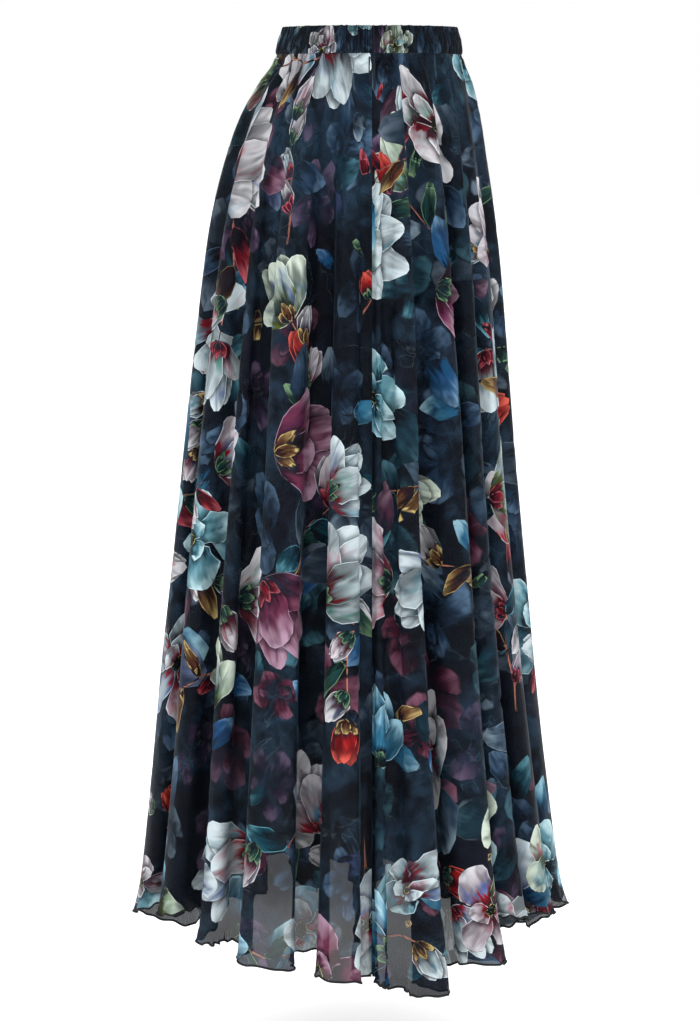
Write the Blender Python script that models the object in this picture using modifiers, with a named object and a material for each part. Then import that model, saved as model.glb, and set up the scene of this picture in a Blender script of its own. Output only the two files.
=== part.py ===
"""Maxi skirt of printed chiffon, with a gathered elastic waistband and a shorter plain lining.

Metres, +Z up. The origin is the middle of the waist, half-way up the waistband. The wearer would
face -Y: the front panels are at -Y, the back panels at +Y and the right side seam at -X. Angles
round the skirt run from the right side seam (0) over the front (90) to the left side seam (180),
and from 0 over the back (-90) to -180.
"""

import math
from bisect import bisect_right
from collections import namedtuple

import bmesh
import bpy

# --- Driving sizes ---------------------------------------------------------------------------
BAND_HEIGHT = 0.029
BAND_WALL = 0.003
BAND_RIDGES = 128  # fine vertical gathers that the elastic makes in the band
BAND_RIDGE_HEIGHT = 0.0009
CLOTH_WALL = 0.001
SEAM_GAP = 0.0003  # between pieces that are sewn to each other
LINING_LENGTH = 0.752  # from the origin down to the lining's hem
LINING_WAVES = 14
LINING_WAVE_DEPTH = 0.005

DEEPEST_WIDTH = 21.0  # degrees; folds wider than this grow no deeper
HEM_SHARPNESS = 1.8  # how much narrower the hem's valleys are than its crests

PANEL_TOP = -BAND_HEIGHT / 2 - SEAM_GAP
COLUMNS_A_FOLD = 8
SEAM_STRIP = 0.0008  # the flat strip beside a side seam
PANEL_ENDS = {"front": (0.0, 180.0), "back": (-180.0, 0.0)}  # degrees

# --- Tables ----------------------------------------------------------------------------------
# The waistband's outer face: how far it reaches from the origin towards the back, the front and
# each side.
Ring = namedtuple("Ring", "height back front side")
BAND_RINGS = (
    Ring(-0.0145, 0.1018, 0.0970, 0.1182),
    Ring(0.0000, 0.0992, 0.0955, 0.1158),
    Ring(0.0145, 0.0946, 0.0918, 0.1118),
)

# The chiffon: the crests of its folds reach back, front and side. fold is a fold's depth as a share
# of its width round the ring, roll how far its walls curl past each other as a share of that width,
# and gather the depth of the small gathers under the band.
Section = namedtuple("Section", "height back front side fold roll gather")
SECTIONS = (
    Section(-0.0148, 0.1062, 0.1008, 0.1218, 0.00, 0.000, 0.0048),
    Section(-0.0200, 0.1064, 0.1010, 0.1220, 0.00, 0.000, 0.0048),
    Section(-0.0450, 0.1225, 0.1100, 0.1345, 0.20, 0.004, 0.0042),
    Section(-0.0800, 0.1425, 0.1185, 0.1490, 0.33, 0.016, 0.0035),
    Section(-0.1250, 0.1590, 0.1255, 0.1625, 0.42, 0.032, 0.0027),
    Section(-0.2000, 0.1775, 0.1360, 0.1790, 0.50, 0.055, 0.0018),
    Section(-0.3000, 0.1910, 0.1445, 0.1930, 0.56, 0.078, 0.0010),
    Section(-0.4500, 0.2085, 0.1552, 0.2100, 0.63, 0.100, 0.0003),
    Section(-0.6500, 0.2300, 0.1742, 0.2340, 0.71, 0.122, 0.0000),
    Section(-0.8000, 0.2440, 0.1925, 0.2510, 0.77, 0.138, 0.0000),
    Section(-0.9150, 0.2565, 0.2090, 0.2660, 0.82, 0.150, 0.0000),
    Section(-0.9600, 0.2650, 0.2210, 0.2760, 0.86, 0.156, 0.0000),
    Section(-1.0200, 0.2740, 0.2320, 0.2860, 0.88, 0.160, 0.0000),
)

# The chiffon's folds, each from one valley to the next: where it starts at the hem in degrees, how
# many gathers it splits into under the band, how far its crest leans towards the next fold as a
# share of its depth, how deep the valley where it starts is as a share of the usual depth, and the
# heights of its hem at the crest and at that valley. tilt hangs the hem lower on the fold's first
# wall and higher on its second.
Fold = namedtuple("Fold", "start gathers lean deep crest_hem valley_hem tilt")
FOLDS = (
    Fold(-180.0, 2, 0.10, 0.95, -0.958, -0.974, 0.006),
    Fold(-160.0, 2, -0.15, 1.00, -0.950, -0.980, -0.008),
    Fold(-137.0, 2, 0.20, 0.90, -0.962, -0.976, 0.008),
    Fold(-116.0, 2, -0.10, 1.00, -0.952, -0.974, 0.010),
    Fold(-95.0, 2, 0.05, 0.90, -0.953, -0.974, 0.012),
    Fold(-70.0, 2, 0.15, 0.55, -0.937, -0.940, 0.006),
    Fold(-53.5, 1, 0.35, 1.00, -0.956, -0.938, 0.000),
    Fold(-42.5, 2, 0.35, 0.80, -0.968, -0.959, -0.002),
    Fold(-18.5, 2, 0.10, 1.00, -0.976, -0.962, -0.003),
    Fold(0.0, 1, 0.05, 0.80, -0.982, -0.978, -0.002),
    Fold(5.5, 2, 0.30, 0.90, -0.993, -0.990, 0.000),
    Fold(20.5, 2, 0.35, 1.00, -0.970, -0.992, -0.004),
    Fold(41.0, 2, 0.15, 1.00, -0.932, -0.960, -0.006),
    Fold(55.5, 1, 0.10, 0.80, -0.940, -0.950, -0.006),
    Fold(73.0, 2, 0.05, 0.55, -0.948, -0.960, -0.014),
    Fold(97.0, 2, -0.15, 1.00, -0.954, -0.974, -0.006),
    Fold(119.0, 2, 0.20, 0.90, -0.966, -0.978, 0.008),
    Fold(141.0, 2, -0.20, 1.00, -0.950, -0.982, -0.008),
    Fold(161.0, 2, 0.10, 0.90, -0.962, -0.972, 0.004),
)

LINING_RINGS = (
    Ring(-0.0148, 0.0997, 0.0944, 0.1154),
    Ring(-0.0200, 0.0998, 0.0945, 0.1155),
    Ring(-0.0450, 0.1088, 0.0964, 0.1218),
    Ring(-0.0800, 0.1202, 0.0970, 0.1306),
    Ring(-0.1250, 0.1295, 0.0965, 0.1382),
    Ring(-0.2000, 0.1405, 0.0985, 0.1470),
    Ring(-0.3000, 0.1490, 0.1020, 0.1540),
    Ring(-0.4500, 0.1530, 0.1060, 0.1570),
    Ring(-LINING_LENGTH, 0.1600, 0.1150, 0.1640),
)

# Heights of the loops of points, as shares of the way down.
CHIFFON_ROWS = (0.0, 0.004, 0.03, 0.07, 0.12, 0.19, 0.28, 0.39, 0.52, 0.66, 0.80, 0.91, 0.965, 1.0)
LINING_ROWS = (0.0, 0.005, 0.04, 0.09, 0.16, 0.27, 0.42, 0.68, 1.0)
LINING_COLUMNS = 40

CHIFFON_LOOK = ((0.012, 0.024, 0.036), 0.62)
BAND_LOOK = ((0.014, 0.030, 0.042), 0.58)
LINING_LOOK = ((0.006, 0.006, 0.007), 0.50)


# --- Curves through the tables ---------------------------------------------------------------
def between(low, high, share):
    return low + (high - low) * share


def read_table(rows, height):
    """The row of a table at a height, on smooth curves through the rows it has."""
    heights = [-row.height for row in rows]
    place = min(max(-height, heights[0]), heights[-1])
    i = min(bisect_right(heights, place), len(rows) - 1) - 1
    span = heights[i + 1] - heights[i]
    t = (place - heights[i]) / span

    def slope(k, column):
        if k in (0, len(rows) - 1):
            return 0.0
        before = (rows[k][column] - rows[k - 1][column]) / (heights[k] - heights[k - 1])
        after = (rows[k + 1][column] - rows[k][column]) / (heights[k + 1] - heights[k])
        if before * after <= 0:
            return 0.0
        return 2 * before * after / (before + after)

    def column_value(column):
        a, b = rows[i][column], rows[i + 1][column]
        rise_a, rise_b = slope(i, column) * span, slope(i + 1, column) * span
        return (
            a * (1 + 2 * t) * (1 - t) ** 2
            + rise_a * t * (1 - t) ** 2
            + b * t * t * (3 - 2 * t)
            - rise_b * t * t * (1 - t)
        )

    return rows[0]._make(column_value(column) for column in range(len(rows[0])))


def on_ring(ring, degrees, along, outward):
    """A point on a ring's oval at an angle, moved along the oval and outward from it, in metres."""
    angle = math.radians(degrees)
    depth = ring.front if math.sin(angle) >= 0 else ring.back
    angle += along / math.hypot(ring.side * math.sin(angle), depth * math.cos(angle))
    depth = ring.front if math.sin(angle) >= 0 else ring.back
    normal = (math.cos(angle) / ring.side, math.sin(angle) / depth)
    length = math.hypot(*normal)
    x = -ring.side * math.cos(angle) - outward * normal[0] / length
    y = -depth * math.sin(angle) - outward * normal[1] / length
    return x, y


# --- The chiffon's folds ---------------------------------------------------------------------
def fold_width(index):
    """Degrees from a fold's first valley to its last."""
    after = FOLDS[(index + 1) % len(FOLDS)].start
    return (after - FOLDS[index].start) % 360.0


def depth_width(index):
    """The width that sets a fold's depth."""
    return min(fold_width(index), DEEPEST_WIDTH)


def valley_width(index):
    """The width that sets the depth of the valley where a fold starts."""
    return FOLDS[index].deep * (depth_width(index - 1) + depth_width(index)) / 2


def chiffon_point(index, share, down):
    """A point of the chiffon: the share of the way across a fold and the share of the way down."""
    fold, after = FOLDS[index], FOLDS[(index + 1) % len(FOLDS)]
    turn = 2 * math.pi * share
    valley = (1 + math.cos(turn)) / 2  # 1 in the valleys and 0 on the crest
    passing = share * share * (3 - 2 * share)
    low = between(fold.valley_hem, after.valley_hem, passing)
    hem = between(fold.crest_hem, low, valley**HEM_SHARPNESS)
    hem -= fold.tilt * math.sin(turn)
    height = between(PANEL_TOP, hem, down)
    section = read_table(SECTIONS, height)

    metres = math.radians((section.side * 2 + section.back + section.front) / 4)
    depth_first = section.fold * metres * valley_width(index)
    depth_last = section.fold * metres * valley_width((index + 1) % len(FOLDS))
    depth_here = between(depth_first, depth_last, passing)
    inset = max(0.0, (depth_first + depth_last) / 2 - section.fold * metres * depth_width(index))
    outward = -between(inset, depth_here, valley)
    along = section.roll * metres * fold_width(index) * math.sin(2 * turn)
    along += fold.lean * (outward + depth_here)
    outward -= section.gather * (1 - math.cos(turn * fold.gathers)) / 2
    x, y = on_ring(section, fold.start + share * fold_width(index), along, outward)
    return x, y, height


def lining_point(degrees, down):
    """A point of the lining at an angle and a share of the way down."""
    height = between(PANEL_TOP, -LINING_LENGTH, down)
    wave = math.sin(math.radians(degrees) * LINING_WAVES) * LINING_WAVE_DEPTH * down
    x, y = on_ring(read_table(LINING_RINGS, height), degrees, 0.0, wave)
    return x, y, height


# --- Objects ---------------------------------------------------------------------------------
def clear_scene():
    for thing in list(bpy.data.objects):
        bpy.data.objects.remove(thing)


def look(name, colour, roughness):
    material = bpy.data.materials.new(name)
    material.use_nodes = True
    shader = material.node_tree.nodes["Principled BSDF"]
    shader.inputs["Base Color"].default_value = (*colour, 1.0)
    shader.inputs["Roughness"].default_value = roughness
    shader.inputs["Metallic"].default_value = 0.0
    return material


def add_object(name, mesh, material, collection):
    mesh.materials.append(material)
    thing = bpy.data.objects.new(name, mesh)
    collection.objects.link(thing)
    mesh.shade_smooth()
    return thing


def sheet(name, points, material, collection):
    """A cloth panel: a grid whose points are moved to rows of points, thickened to a wall."""
    rows, columns = len(points), len(points[0])
    bm = bmesh.new()
    bmesh.ops.create_grid(bm, x_segments=columns - 1, y_segments=rows - 1, size=1.0)
    for vertex in list(bm.verts):
        column = round((vertex.co.x + 1) / 2 * (columns - 1))
        row = round((1 - vertex.co.y) / 2 * (rows - 1))
        vertex.co = points[row][column]
    mesh = bpy.data.meshes.new(name)
    bm.to_mesh(mesh)
    bm.free()
    thing = add_object(name, mesh, material, collection)
    wall = thing.modifiers.new("Wall", "SOLIDIFY")
    wall.thickness = CLOTH_WALL
    wall.offset = 0.0
    return thing


def fold_stations(panel):
    """(fold, share) of each column of a panel, from one side seam to the other."""
    first_degrees, last_degrees = PANEL_ENDS[panel]
    inside = [i for i, f in enumerate(FOLDS) if first_degrees <= f.start < last_degrees]
    steps = [(index, n / COLUMNS_A_FOLD) for index in inside for n in range(COLUMNS_A_FOLD)]
    return steps + [(inside[-1], 1.0)]


def from_seam(point, panel, distance):
    """A side seam's point, moved into a panel by a distance."""
    x, _, z = point
    return x, -distance if panel == "front" else distance, z


def at_seams(row, panel):
    """A row of points whose ends become flat strips, half a seam gap off the side seams."""
    ends = []
    for k in (0, -1):
        ends.append([from_seam(row[k], panel, SEAM_GAP / 2 + w) for w in (0.0, SEAM_STRIP)])
    return ends[0] + row[1:-1] + ends[1][::-1]


def chiffon_panel(panel, collection, material):
    stations = fold_stations(panel)
    points = []
    for down in CHIFFON_ROWS:
        row = [chiffon_point(index, share, down) for index, share in stations]
        points.append(at_seams(row, panel))
    sheet(f"skirt_{panel}", points, material, collection)


def lining_panel(panel, collection, material):
    first, last = PANEL_ENDS[panel]
    points = []
    for down in LINING_ROWS:
        row = [
            lining_point(between(first, last, n / LINING_COLUMNS), down)
            for n in range(LINING_COLUMNS + 1)
        ]
        points.append(at_seams(row, panel))
    sheet(f"lining_{panel}", points, material, collection)


def band_loop(degrees, ridge):
    """The closed outline of the band's wall at an angle: up its ridged face and down its plain one."""
    outer = [on_ring(r, degrees, 0.0, ridge) + (r.height,) for r in BAND_RINGS]
    inner = [on_ring(r, degrees, 0.0, -BAND_WALL) + (r.height,) for r in BAND_RINGS]
    return outer + inner[::-1]


def waistband_panel(panel, collection, material):
    first, last = PANEL_ENDS[panel]
    count = BAND_RIDGES  # two columns a ridge, on half of the ring
    loops = []
    for n in range(count + 1):
        ridge = BAND_RIDGE_HEIGHT * (n % 2)
        loops.append(band_loop(between(first, last, n / count), ridge))
    for k in (0, -1):
        loops[k] = [from_seam(point, panel, SEAM_GAP / 2) for point in loops[k]]

    bm = bmesh.new()
    rings = [[bm.verts.new(point) for point in loop] for loop in loops]
    size = len(rings[0])
    for ring, after in zip(rings, rings[1:]):
        for k in range(size):
            bm.faces.new((ring[k], after[k], after[(k + 1) % size], ring[(k + 1) % size]))
    bm.faces.new(rings[0])
    bm.faces.new(rings[-1][::-1])
    bmesh.ops.recalc_face_normals(bm, faces=bm.faces)
    mesh = bpy.data.meshes.new(f"waistband_{panel}")
    bm.to_mesh(mesh)
    bm.free()
    add_object(f"waistband_{panel}", mesh, material, collection)


def main():
    clear_scene()
    collection = bpy.data.collections.new("Maxi skirt")
    bpy.context.scene.collection.children.link(collection)
    band = look("printed chiffon over elastic", *BAND_LOOK)
    chiffon = look("printed chiffon", *CHIFFON_LOOK)
    lining = look("black lining", *LINING_LOOK)
    for panel in PANEL_ENDS:
        waistband_panel(panel, collection, band)
        chiffon_panel(panel, collection, chiffon)
        lining_panel(panel, collection, lining)


main()
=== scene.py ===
"""Looks of a chiffon maxi skirt: printed panels, shirred waistband, lining, hem edges and seams.

Metres, +Z up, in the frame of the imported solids. Angles round the skirt run from the right side
seam (0) over the front (90) to the left side seam (180), and from 0 over the back (-90) to -180.
"""

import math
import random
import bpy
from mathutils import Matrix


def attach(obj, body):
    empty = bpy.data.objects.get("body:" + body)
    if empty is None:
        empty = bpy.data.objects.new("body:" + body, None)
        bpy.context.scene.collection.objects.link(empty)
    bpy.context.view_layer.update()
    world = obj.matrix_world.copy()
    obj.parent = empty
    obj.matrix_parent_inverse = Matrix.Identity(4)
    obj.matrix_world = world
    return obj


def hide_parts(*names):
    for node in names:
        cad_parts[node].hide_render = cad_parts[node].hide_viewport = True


bl_info = {
    "name": "Printed Maxi Skirt",
    "version": (1, 0, 0),
    "blender": (4, 5, 0),
    "location": "View3D > Sidebar > Skirt",
    "description": "Dresses the skirt's solids in printed chiffon and sets up a pale studio",
    "category": "Add Mesh",
}

from collections import namedtuple

import bpy
import numpy as np
from mathutils import Vector
from mathutils.geometry import delaunay_2d_cdt

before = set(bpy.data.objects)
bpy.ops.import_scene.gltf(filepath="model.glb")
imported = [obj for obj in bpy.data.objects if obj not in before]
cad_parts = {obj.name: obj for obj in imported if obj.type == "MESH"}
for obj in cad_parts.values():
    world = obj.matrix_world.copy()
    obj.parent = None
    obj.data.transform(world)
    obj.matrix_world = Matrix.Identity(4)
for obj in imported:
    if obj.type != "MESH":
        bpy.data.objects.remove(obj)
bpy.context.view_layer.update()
ROOT = "root"

# --- Sizes of the solids -----------------------------------------------------------------------
BAND_HEIGHT = 0.029
BAND_WALL = 0.003
SEAM_GAP = 0.0003
LINING_LENGTH = 0.752
LINING_WAVES = 14
LINING_WAVE_DEPTH = 0.005
DEEPEST_WIDTH = 21.0  # degrees; folds wider than this grow no deeper
HEM_SHARPNESS = 1.8  # how much narrower the hem's valleys are than its crests
PANEL_TOP = -BAND_HEIGHT / 2 - SEAM_GAP

# How far each loop of cloth reaches from the origin towards the back, the front and each side.
Ring = namedtuple("Ring", "height back front side")
BAND_RINGS = tuple(map(Ring._make, (
    (0.0145, 0.0946, 0.0918, 0.1118),
    (0.0000, 0.0992, 0.0955, 0.1158),
    (-0.0145, 0.1018, 0.0970, 0.1182),
)))
LINING_RINGS = tuple(map(Ring._make, (
    (-0.0148, 0.0997, 0.0944, 0.1154),
    (-0.0200, 0.0998, 0.0945, 0.1155),
    (-0.0450, 0.1088, 0.0964, 0.1218),
    (-0.0800, 0.1202, 0.0970, 0.1306),
    (-0.1250, 0.1295, 0.0965, 0.1382),
    (-0.2000, 0.1405, 0.0985, 0.1470),
    (-0.3000, 0.1490, 0.1020, 0.1540),
    (-0.4500, 0.1530, 0.1060, 0.1570),
    (-LINING_LENGTH, 0.1600, 0.1150, 0.1640),
)))

# The chiffon's crests by height: fold is a fold's depth as a share of its width, roll how far its
# walls curl past each other, and gather the depth of the small gathers under the band.
Section = namedtuple("Section", "height back front side fold roll gather")
SECTIONS = tuple(map(Section._make, (
    (-0.0148, 0.1062, 0.1008, 0.1218, 0.00, 0.000, 0.0048),
    (-0.0200, 0.1064, 0.1010, 0.1220, 0.00, 0.000, 0.0048),
    (-0.0450, 0.1225, 0.1100, 0.1345, 0.20, 0.004, 0.0042),
    (-0.0800, 0.1425, 0.1185, 0.1490, 0.33, 0.016, 0.0035),
    (-0.1250, 0.1590, 0.1255, 0.1625, 0.42, 0.032, 0.0027),
    (-0.2000, 0.1775, 0.1360, 0.1790, 0.50, 0.055, 0.0018),
    (-0.3000, 0.1910, 0.1445, 0.1930, 0.56, 0.078, 0.0010),
    (-0.4500, 0.2085, 0.1552, 0.2100, 0.63, 0.100, 0.0003),
    (-0.6500, 0.2300, 0.1742, 0.2340, 0.71, 0.122, 0.0000),
    (-0.8000, 0.2440, 0.1925, 0.2510, 0.77, 0.138, 0.0000),
    (-0.9150, 0.2565, 0.2090, 0.2660, 0.82, 0.150, 0.0000),
    (-0.9600, 0.2650, 0.2210, 0.2760, 0.86, 0.156, 0.0000),
    (-1.0200, 0.2740, 0.2320, 0.2860, 0.88, 0.160, 0.0000),
)))

# The chiffon's folds, each from one valley to the next: where it starts in degrees, how many
# gathers it has under the band, how far its crest leans, how deep its first valley is, and the
# heights of its hem at the crest and at that valley. tilt hangs one wall lower than the other.
Fold = namedtuple("Fold", "start gathers lean deep crest_hem valley_hem tilt")
FOLDS = tuple(map(Fold._make, (
    (-180.0, 2, 0.10, 0.95, -0.958, -0.974, 0.006),
    (-160.0, 2, -0.15, 1.00, -0.950, -0.980, -0.008),
    (-137.0, 2, 0.20, 0.90, -0.962, -0.976, 0.008),
    (-116.0, 2, -0.10, 1.00, -0.952, -0.974, 0.010),
    (-95.0, 2, 0.05, 0.90, -0.953, -0.974, 0.012),
    (-70.0, 2, 0.15, 0.55, -0.937, -0.940, 0.006),
    (-53.5, 1, 0.35, 1.00, -0.956, -0.938, 0.000),
    (-42.5, 2, 0.35, 0.80, -0.968, -0.959, -0.002),
    (-18.5, 2, 0.10, 1.00, -0.976, -0.962, -0.003),
    (0.0, 1, 0.05, 0.80, -0.982, -0.978, -0.002),
    (5.5, 2, 0.30, 0.90, -0.993, -0.990, 0.000),
    (20.5, 2, 0.35, 1.00, -0.970, -0.992, -0.004),
    (41.0, 2, 0.15, 1.00, -0.932, -0.960, -0.006),
    (55.5, 1, 0.10, 0.80, -0.940, -0.950, -0.006),
    (73.0, 2, 0.05, 0.55, -0.948, -0.960, -0.014),
    (97.0, 2, -0.15, 1.00, -0.954, -0.974, -0.006),
    (119.0, 2, 0.20, 0.90, -0.966, -0.978, 0.008),
    (141.0, 2, -0.20, 1.00, -0.950, -0.982, -0.008),
    (161.0, 2, 0.10, 0.90, -0.962, -0.972, 0.004),
)))
BACK_FOLDS = 9  # the folds before the right side seam; the rest are at the front

# Where each panel starts and ends: in folds for the chiffon, in degrees for the other pieces.
Panel = namedtuple("Panel", "name first_fold last_fold first_degrees last_degrees")
PANELS = (
    Panel("front", float(BACK_FOLDS), float(len(FOLDS)), 0.0, 180.0),
    Panel("back", 0.0, float(BACK_FOLDS), -180.0, 0.0),
)

# --- Sizes of the finer form -------------------------------------------------------------------
CHIFFON_WALL = 0.0003
FULL_LENGTH = 0.96  # of the chiffon, from the band to the deepest part of its hem
BODY_FULLNESS = 1.5  # the way round the folds as a multiple of the way round their oval
HEM_FULLNESS = 1.7

FINE_GATHERS = 5.5  # a fold
FINE_GATHER_DEPTH = 0.0011
FINE_GATHER_LENGTH = 0.060
FINE_GATHER_START = 0.006  # below the band's seam
SOFT_RIPPLES = 2.3  # a fold
SOFT_RIPPLE_DEPTH = 0.0016
SOFT_RIPPLE_SLANT = 0.9  # ripples that a metre of height moves them by
SOFT_RIPPLE_RANGE = (0.05, 0.55)  # below the band's seam, where they grow to their full depth
CREASE_FADES = (0.25, 0.35)  # shares of its length over which a crease starts and ends
HEM_WAVE_LENGTH = 0.017
HEM_WAVE_DEPTH = 0.0024
HEM_WAVE_DROP = 0.0018
HEM_WAVE_DROP_LENGTH = 1.3 * HEM_WAVE_LENGTH
HEM_WAVE_REACH = 0.011
RIPPLE_PITCHES = (0.62, 1.45)  # waves that each of a ripple's sines has in a length of 1
RIPPLE_PEAK = 1.4  # about how high the sines add up, over the root of their number
SEAM_CALM = 0.22  # folds beside a side seam over which the finer form fades out
SEAM_INSET = 0.003  # folds between a side seam and each panel
TUCK_DEPTH = 0.0036  # how far the gathers are drawn in where they are sewn to the band
TUCK_HEIGHT = 0.007
CHIFFON_TOP_ROWS = 8
CHIFFON_TOP_SHARE = 0.05  # of the way down, where the close rows at the band end
CHIFFON_ROWS = 50
CHIFFON_HEM_ROWS = 4
CHIFFON_HEM_SHARE = 0.982  # of the way down, where the close rows at the hem start
CHIFFON_COLUMNS = 168
CHIFFON_HEM_COLUMNS = 3 * CHIFFON_COLUMNS

LINING_WALL = 0.0004
LINING_ROOM = 0.0014  # between the chiffon and the lining's widest waves
LINING_ROOM_END = 0.01  # below the lining's hem
LINING_CREASE = 0.0012
LINING_CREASE_DEGREES = 9.0  # from one crease to the next
LINING_CREASE_SLANT = 1.5  # creases that a metre of height moves them by
LINING_HEM = 0.012
LINING_HEM_STEP = 0.0004
LINING_HEM_EDGE = 0.001  # height over which the cloth steps out to its doubled hem
LINING_HEM_ROWS = (LINING_HEM - 0.0005, LINING_HEM - 0.002, 0.006, 0.0)  # above its edge
LINING_THREADS = 2600.0  # a metre
LINING_COLUMNS = 200
LINING_ROWS = 60
LINING_SAMPLES = 400
LINING_INSET = 0.08  # degrees between a side seam and each panel

CASING_WALL = 0.0004
BAND_FULLNESS = 1.35
BAND_ROWS = 30
BAND_COLUMNS = 720
BAND_GATHERS = 64
BAND_PINCH = 1.3  # power of the sine that shapes a gather; a higher one makes it narrower
BAND_RIDGE = 0.0024  # depth of a gather outside; the next three are shares of it
BAND_INNER_RIDGE = 0.4
BAND_TOP_RIDGE = 0.35
BAND_FOOT_RIDGE = 0.45
BAND_FOOT = (-0.002, 0.0035)  # above its lower edge, where the gathers grow to their full depth
BAND_SEAM_CALM = 0.006  # share of a half's width beside a side seam over which they fade out
BAND_PUFF = 0.0003

HEM_SAMPLES = 6000
SAMPLES_A_STITCH = 4
HEM_EDGE_HALF = 0.0009
HEM_EDGE_SIDES = 6
HEM_EDGE_RAISE = 0.4  # of its height, from the cloth's edge to its middle
HEM_STITCH_SWELL = 0.10
SEAM_START = 0.001  # below the band's seam
SEAM_END = 0.002  # above the hem
SEAM_STEP = 0.0016
SEAM_HALF = 0.0004
SEAM_SIDES = 8
SEAM_OFFSET = 0.0008
SEAM_STITCH_SWELL = 0.05
TWIG_WIDTH = 0.0026
SOFT_RIM = 0.0004  # width of a petal's soft edge; dim petals have wider ones and cast no shade
SHEER_HEM = (0.10, 0.05)  # above the hem's deepest part, where the chiffon turns more sheer
CREPE_SCALE = 1400.0  # of the noise that roughens the crepe
CREPE_DEPTH = 0.0001
CENTIMETRES = 100.0  # in a metre
INSIDE_ONLY = 1  # the triangulation's output without what lies outside the faces
MERGE_DISTANCE = 1e-6  # points of flat cloth that lie closer become one

# Soft creases in the chiffon: the fold they lie in (whole number) and how far across it, where
# they start and end, how high they stand (negative ones are troughs), how wide they are, and how
# many folds they drift by on their way.
Crease = namedtuple("Crease", "place top bottom height width drift")
CREASES = tuple(map(Crease._make, (
    (6.45, -0.05, -0.62, -0.0030, 0.006, 0.10),
    (5.30, -0.10, -0.75, 0.0028, 0.008, 0.06),
    (5.62, -0.30, -0.93, -0.0026, 0.007, -0.05),
    (4.40, -0.12, -0.70, -0.0024, 0.007, 0.08),
    (7.30, -0.03, -0.48, 0.0030, 0.007, 0.12),
    (7.55, -0.35, -0.95, -0.0030, 0.009, -0.06),
    (7.80, -0.10, -0.60, 0.0020, 0.005, 0.04),
    (8.35, -0.04, -0.55, -0.0026, 0.006, 0.07),
    (8.60, -0.40, -0.96, 0.0028, 0.009, -0.05),
    (10.40, -0.03, -0.50, 0.0026, 0.006, -0.08),
    (10.62, -0.38, -0.96, -0.0030, 0.008, 0.05),
    (11.30, -0.06, -0.66, -0.0028, 0.008, 0.06),
    (11.55, -0.28, -0.97, 0.0026, 0.008, -0.04),
    (11.78, -0.05, -0.40, 0.0022, 0.005, 0.05),
    (12.35, -0.08, -0.72, 0.0026, 0.008, 0.05),
    (12.66, -0.42, -0.93, -0.0028, 0.008, -0.06),
    (13.50, -0.05, -0.58, -0.0024, 0.006, 0.06),
    (14.40, -0.10, -0.80, 0.0026, 0.008, 0.08),
    (14.70, -0.30, -0.92, -0.0022, 0.008, -0.05),
    (15.40, -0.04, -0.64, -0.0026, 0.007, -0.07),
    (16.30, -0.10, -0.86, 0.0028, 0.008, 0.05),
    (16.60, -0.05, -0.52, -0.0022, 0.006, 0.06),
    (17.45, -0.18, -0.92, -0.0028, 0.009, 0.06),
    (18.40, -0.06, -0.70, 0.0024, 0.007, -0.05),
    (0.40, -0.05, -0.66, -0.0026, 0.007, 0.07),
    (1.35, -0.20, -0.93, 0.0026, 0.008, -0.05),
    (1.65, -0.04, -0.50, -0.0024, 0.006, 0.05),
    (2.45, -0.10, -0.78, -0.0028, 0.008, 0.06),
    (3.40, -0.05, -0.68, 0.0026, 0.007, 0.06),
    (3.70, -0.36, -0.94, -0.0024, 0.008, -0.04),
)))

# The flat cut of a chiffon panel is a sector of a ring: its inner radius and its angle.
FAN_RADIUS = 0.522
FAN_ANGLE = 1.188
FAN_HEIGHT = -0.55  # where the cloth is measured round to lay the print out
FAN_SAMPLES = 900

# --- The studio ----------------------------------------------------------------------------------
FLOOR_REACH = 40.0
SENSOR = 36.0
PICTURE_HEIGHT = 1021
FOCAL_PIXELS = 3655
CAMERA_PLACE = (-4.0, 0.0232, -0.0787)
CAMERA_DOWN = 6.19  # degrees below level
CLOTH_LAYERS = 24  # see-through layers that light passes
WHITE_LIGHT = (1.0, 1.0, 1.0, 1.0)
LIGHTS_AIM = (0.0, 0.0, -0.5)
LIGHTS = (  # name, place, size and the setting with its power
    ("key_light", (-3.2, -1.9, 1.9), 2.6, "key"),
    ("fill_light", (-2.6, 2.8, 0.9), 2.6, "fill"),
    ("back_light", (3.4, 0.6, 2.2), 2.4, "fill"),
)


# --- Curves through the tables -----------------------------------------------------------------
def between(low, high, share):
    return low + (high - low) * share


def smooth(low, high, value):
    """0 below low, 1 above high and a soft step between them."""
    share = np.clip((value - low) / (high - low), 0.0, 1.0)
    return share * share * (3 - 2 * share)


def read_table(rows, height):
    """The columns of a table at each height, on smooth curves through the rows it has."""
    knots = -np.array([row.height for row in rows])
    values = np.array(rows)
    spans = np.diff(knots)
    rises = np.diff(values, axis=0) / spans[:, None]
    before, after = rises[:-1], rises[1:]
    rising = before * after > 0
    total = np.where(rising, before + after, 1.0)
    slopes = np.zeros_like(values)
    slopes[1:-1] = np.where(rising, 2 * before * after / total, 0.0)

    place = np.clip(-height, knots[0], knots[-1])
    i = np.clip(np.searchsorted(knots, place, "right") - 1, 0, len(rows) - 2)
    t = ((place - knots[i]) / spans[i])[:, None]
    first = values[i] * (1 + 2 * t) + slopes[i] * spans[i, None] * t
    last = values[i + 1] * (3 - 2 * t) - slopes[i + 1] * spans[i, None] * (1 - t)
    return type(rows[0])(*(first * (1 - t) ** 2 + last * t**2).T)


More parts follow.
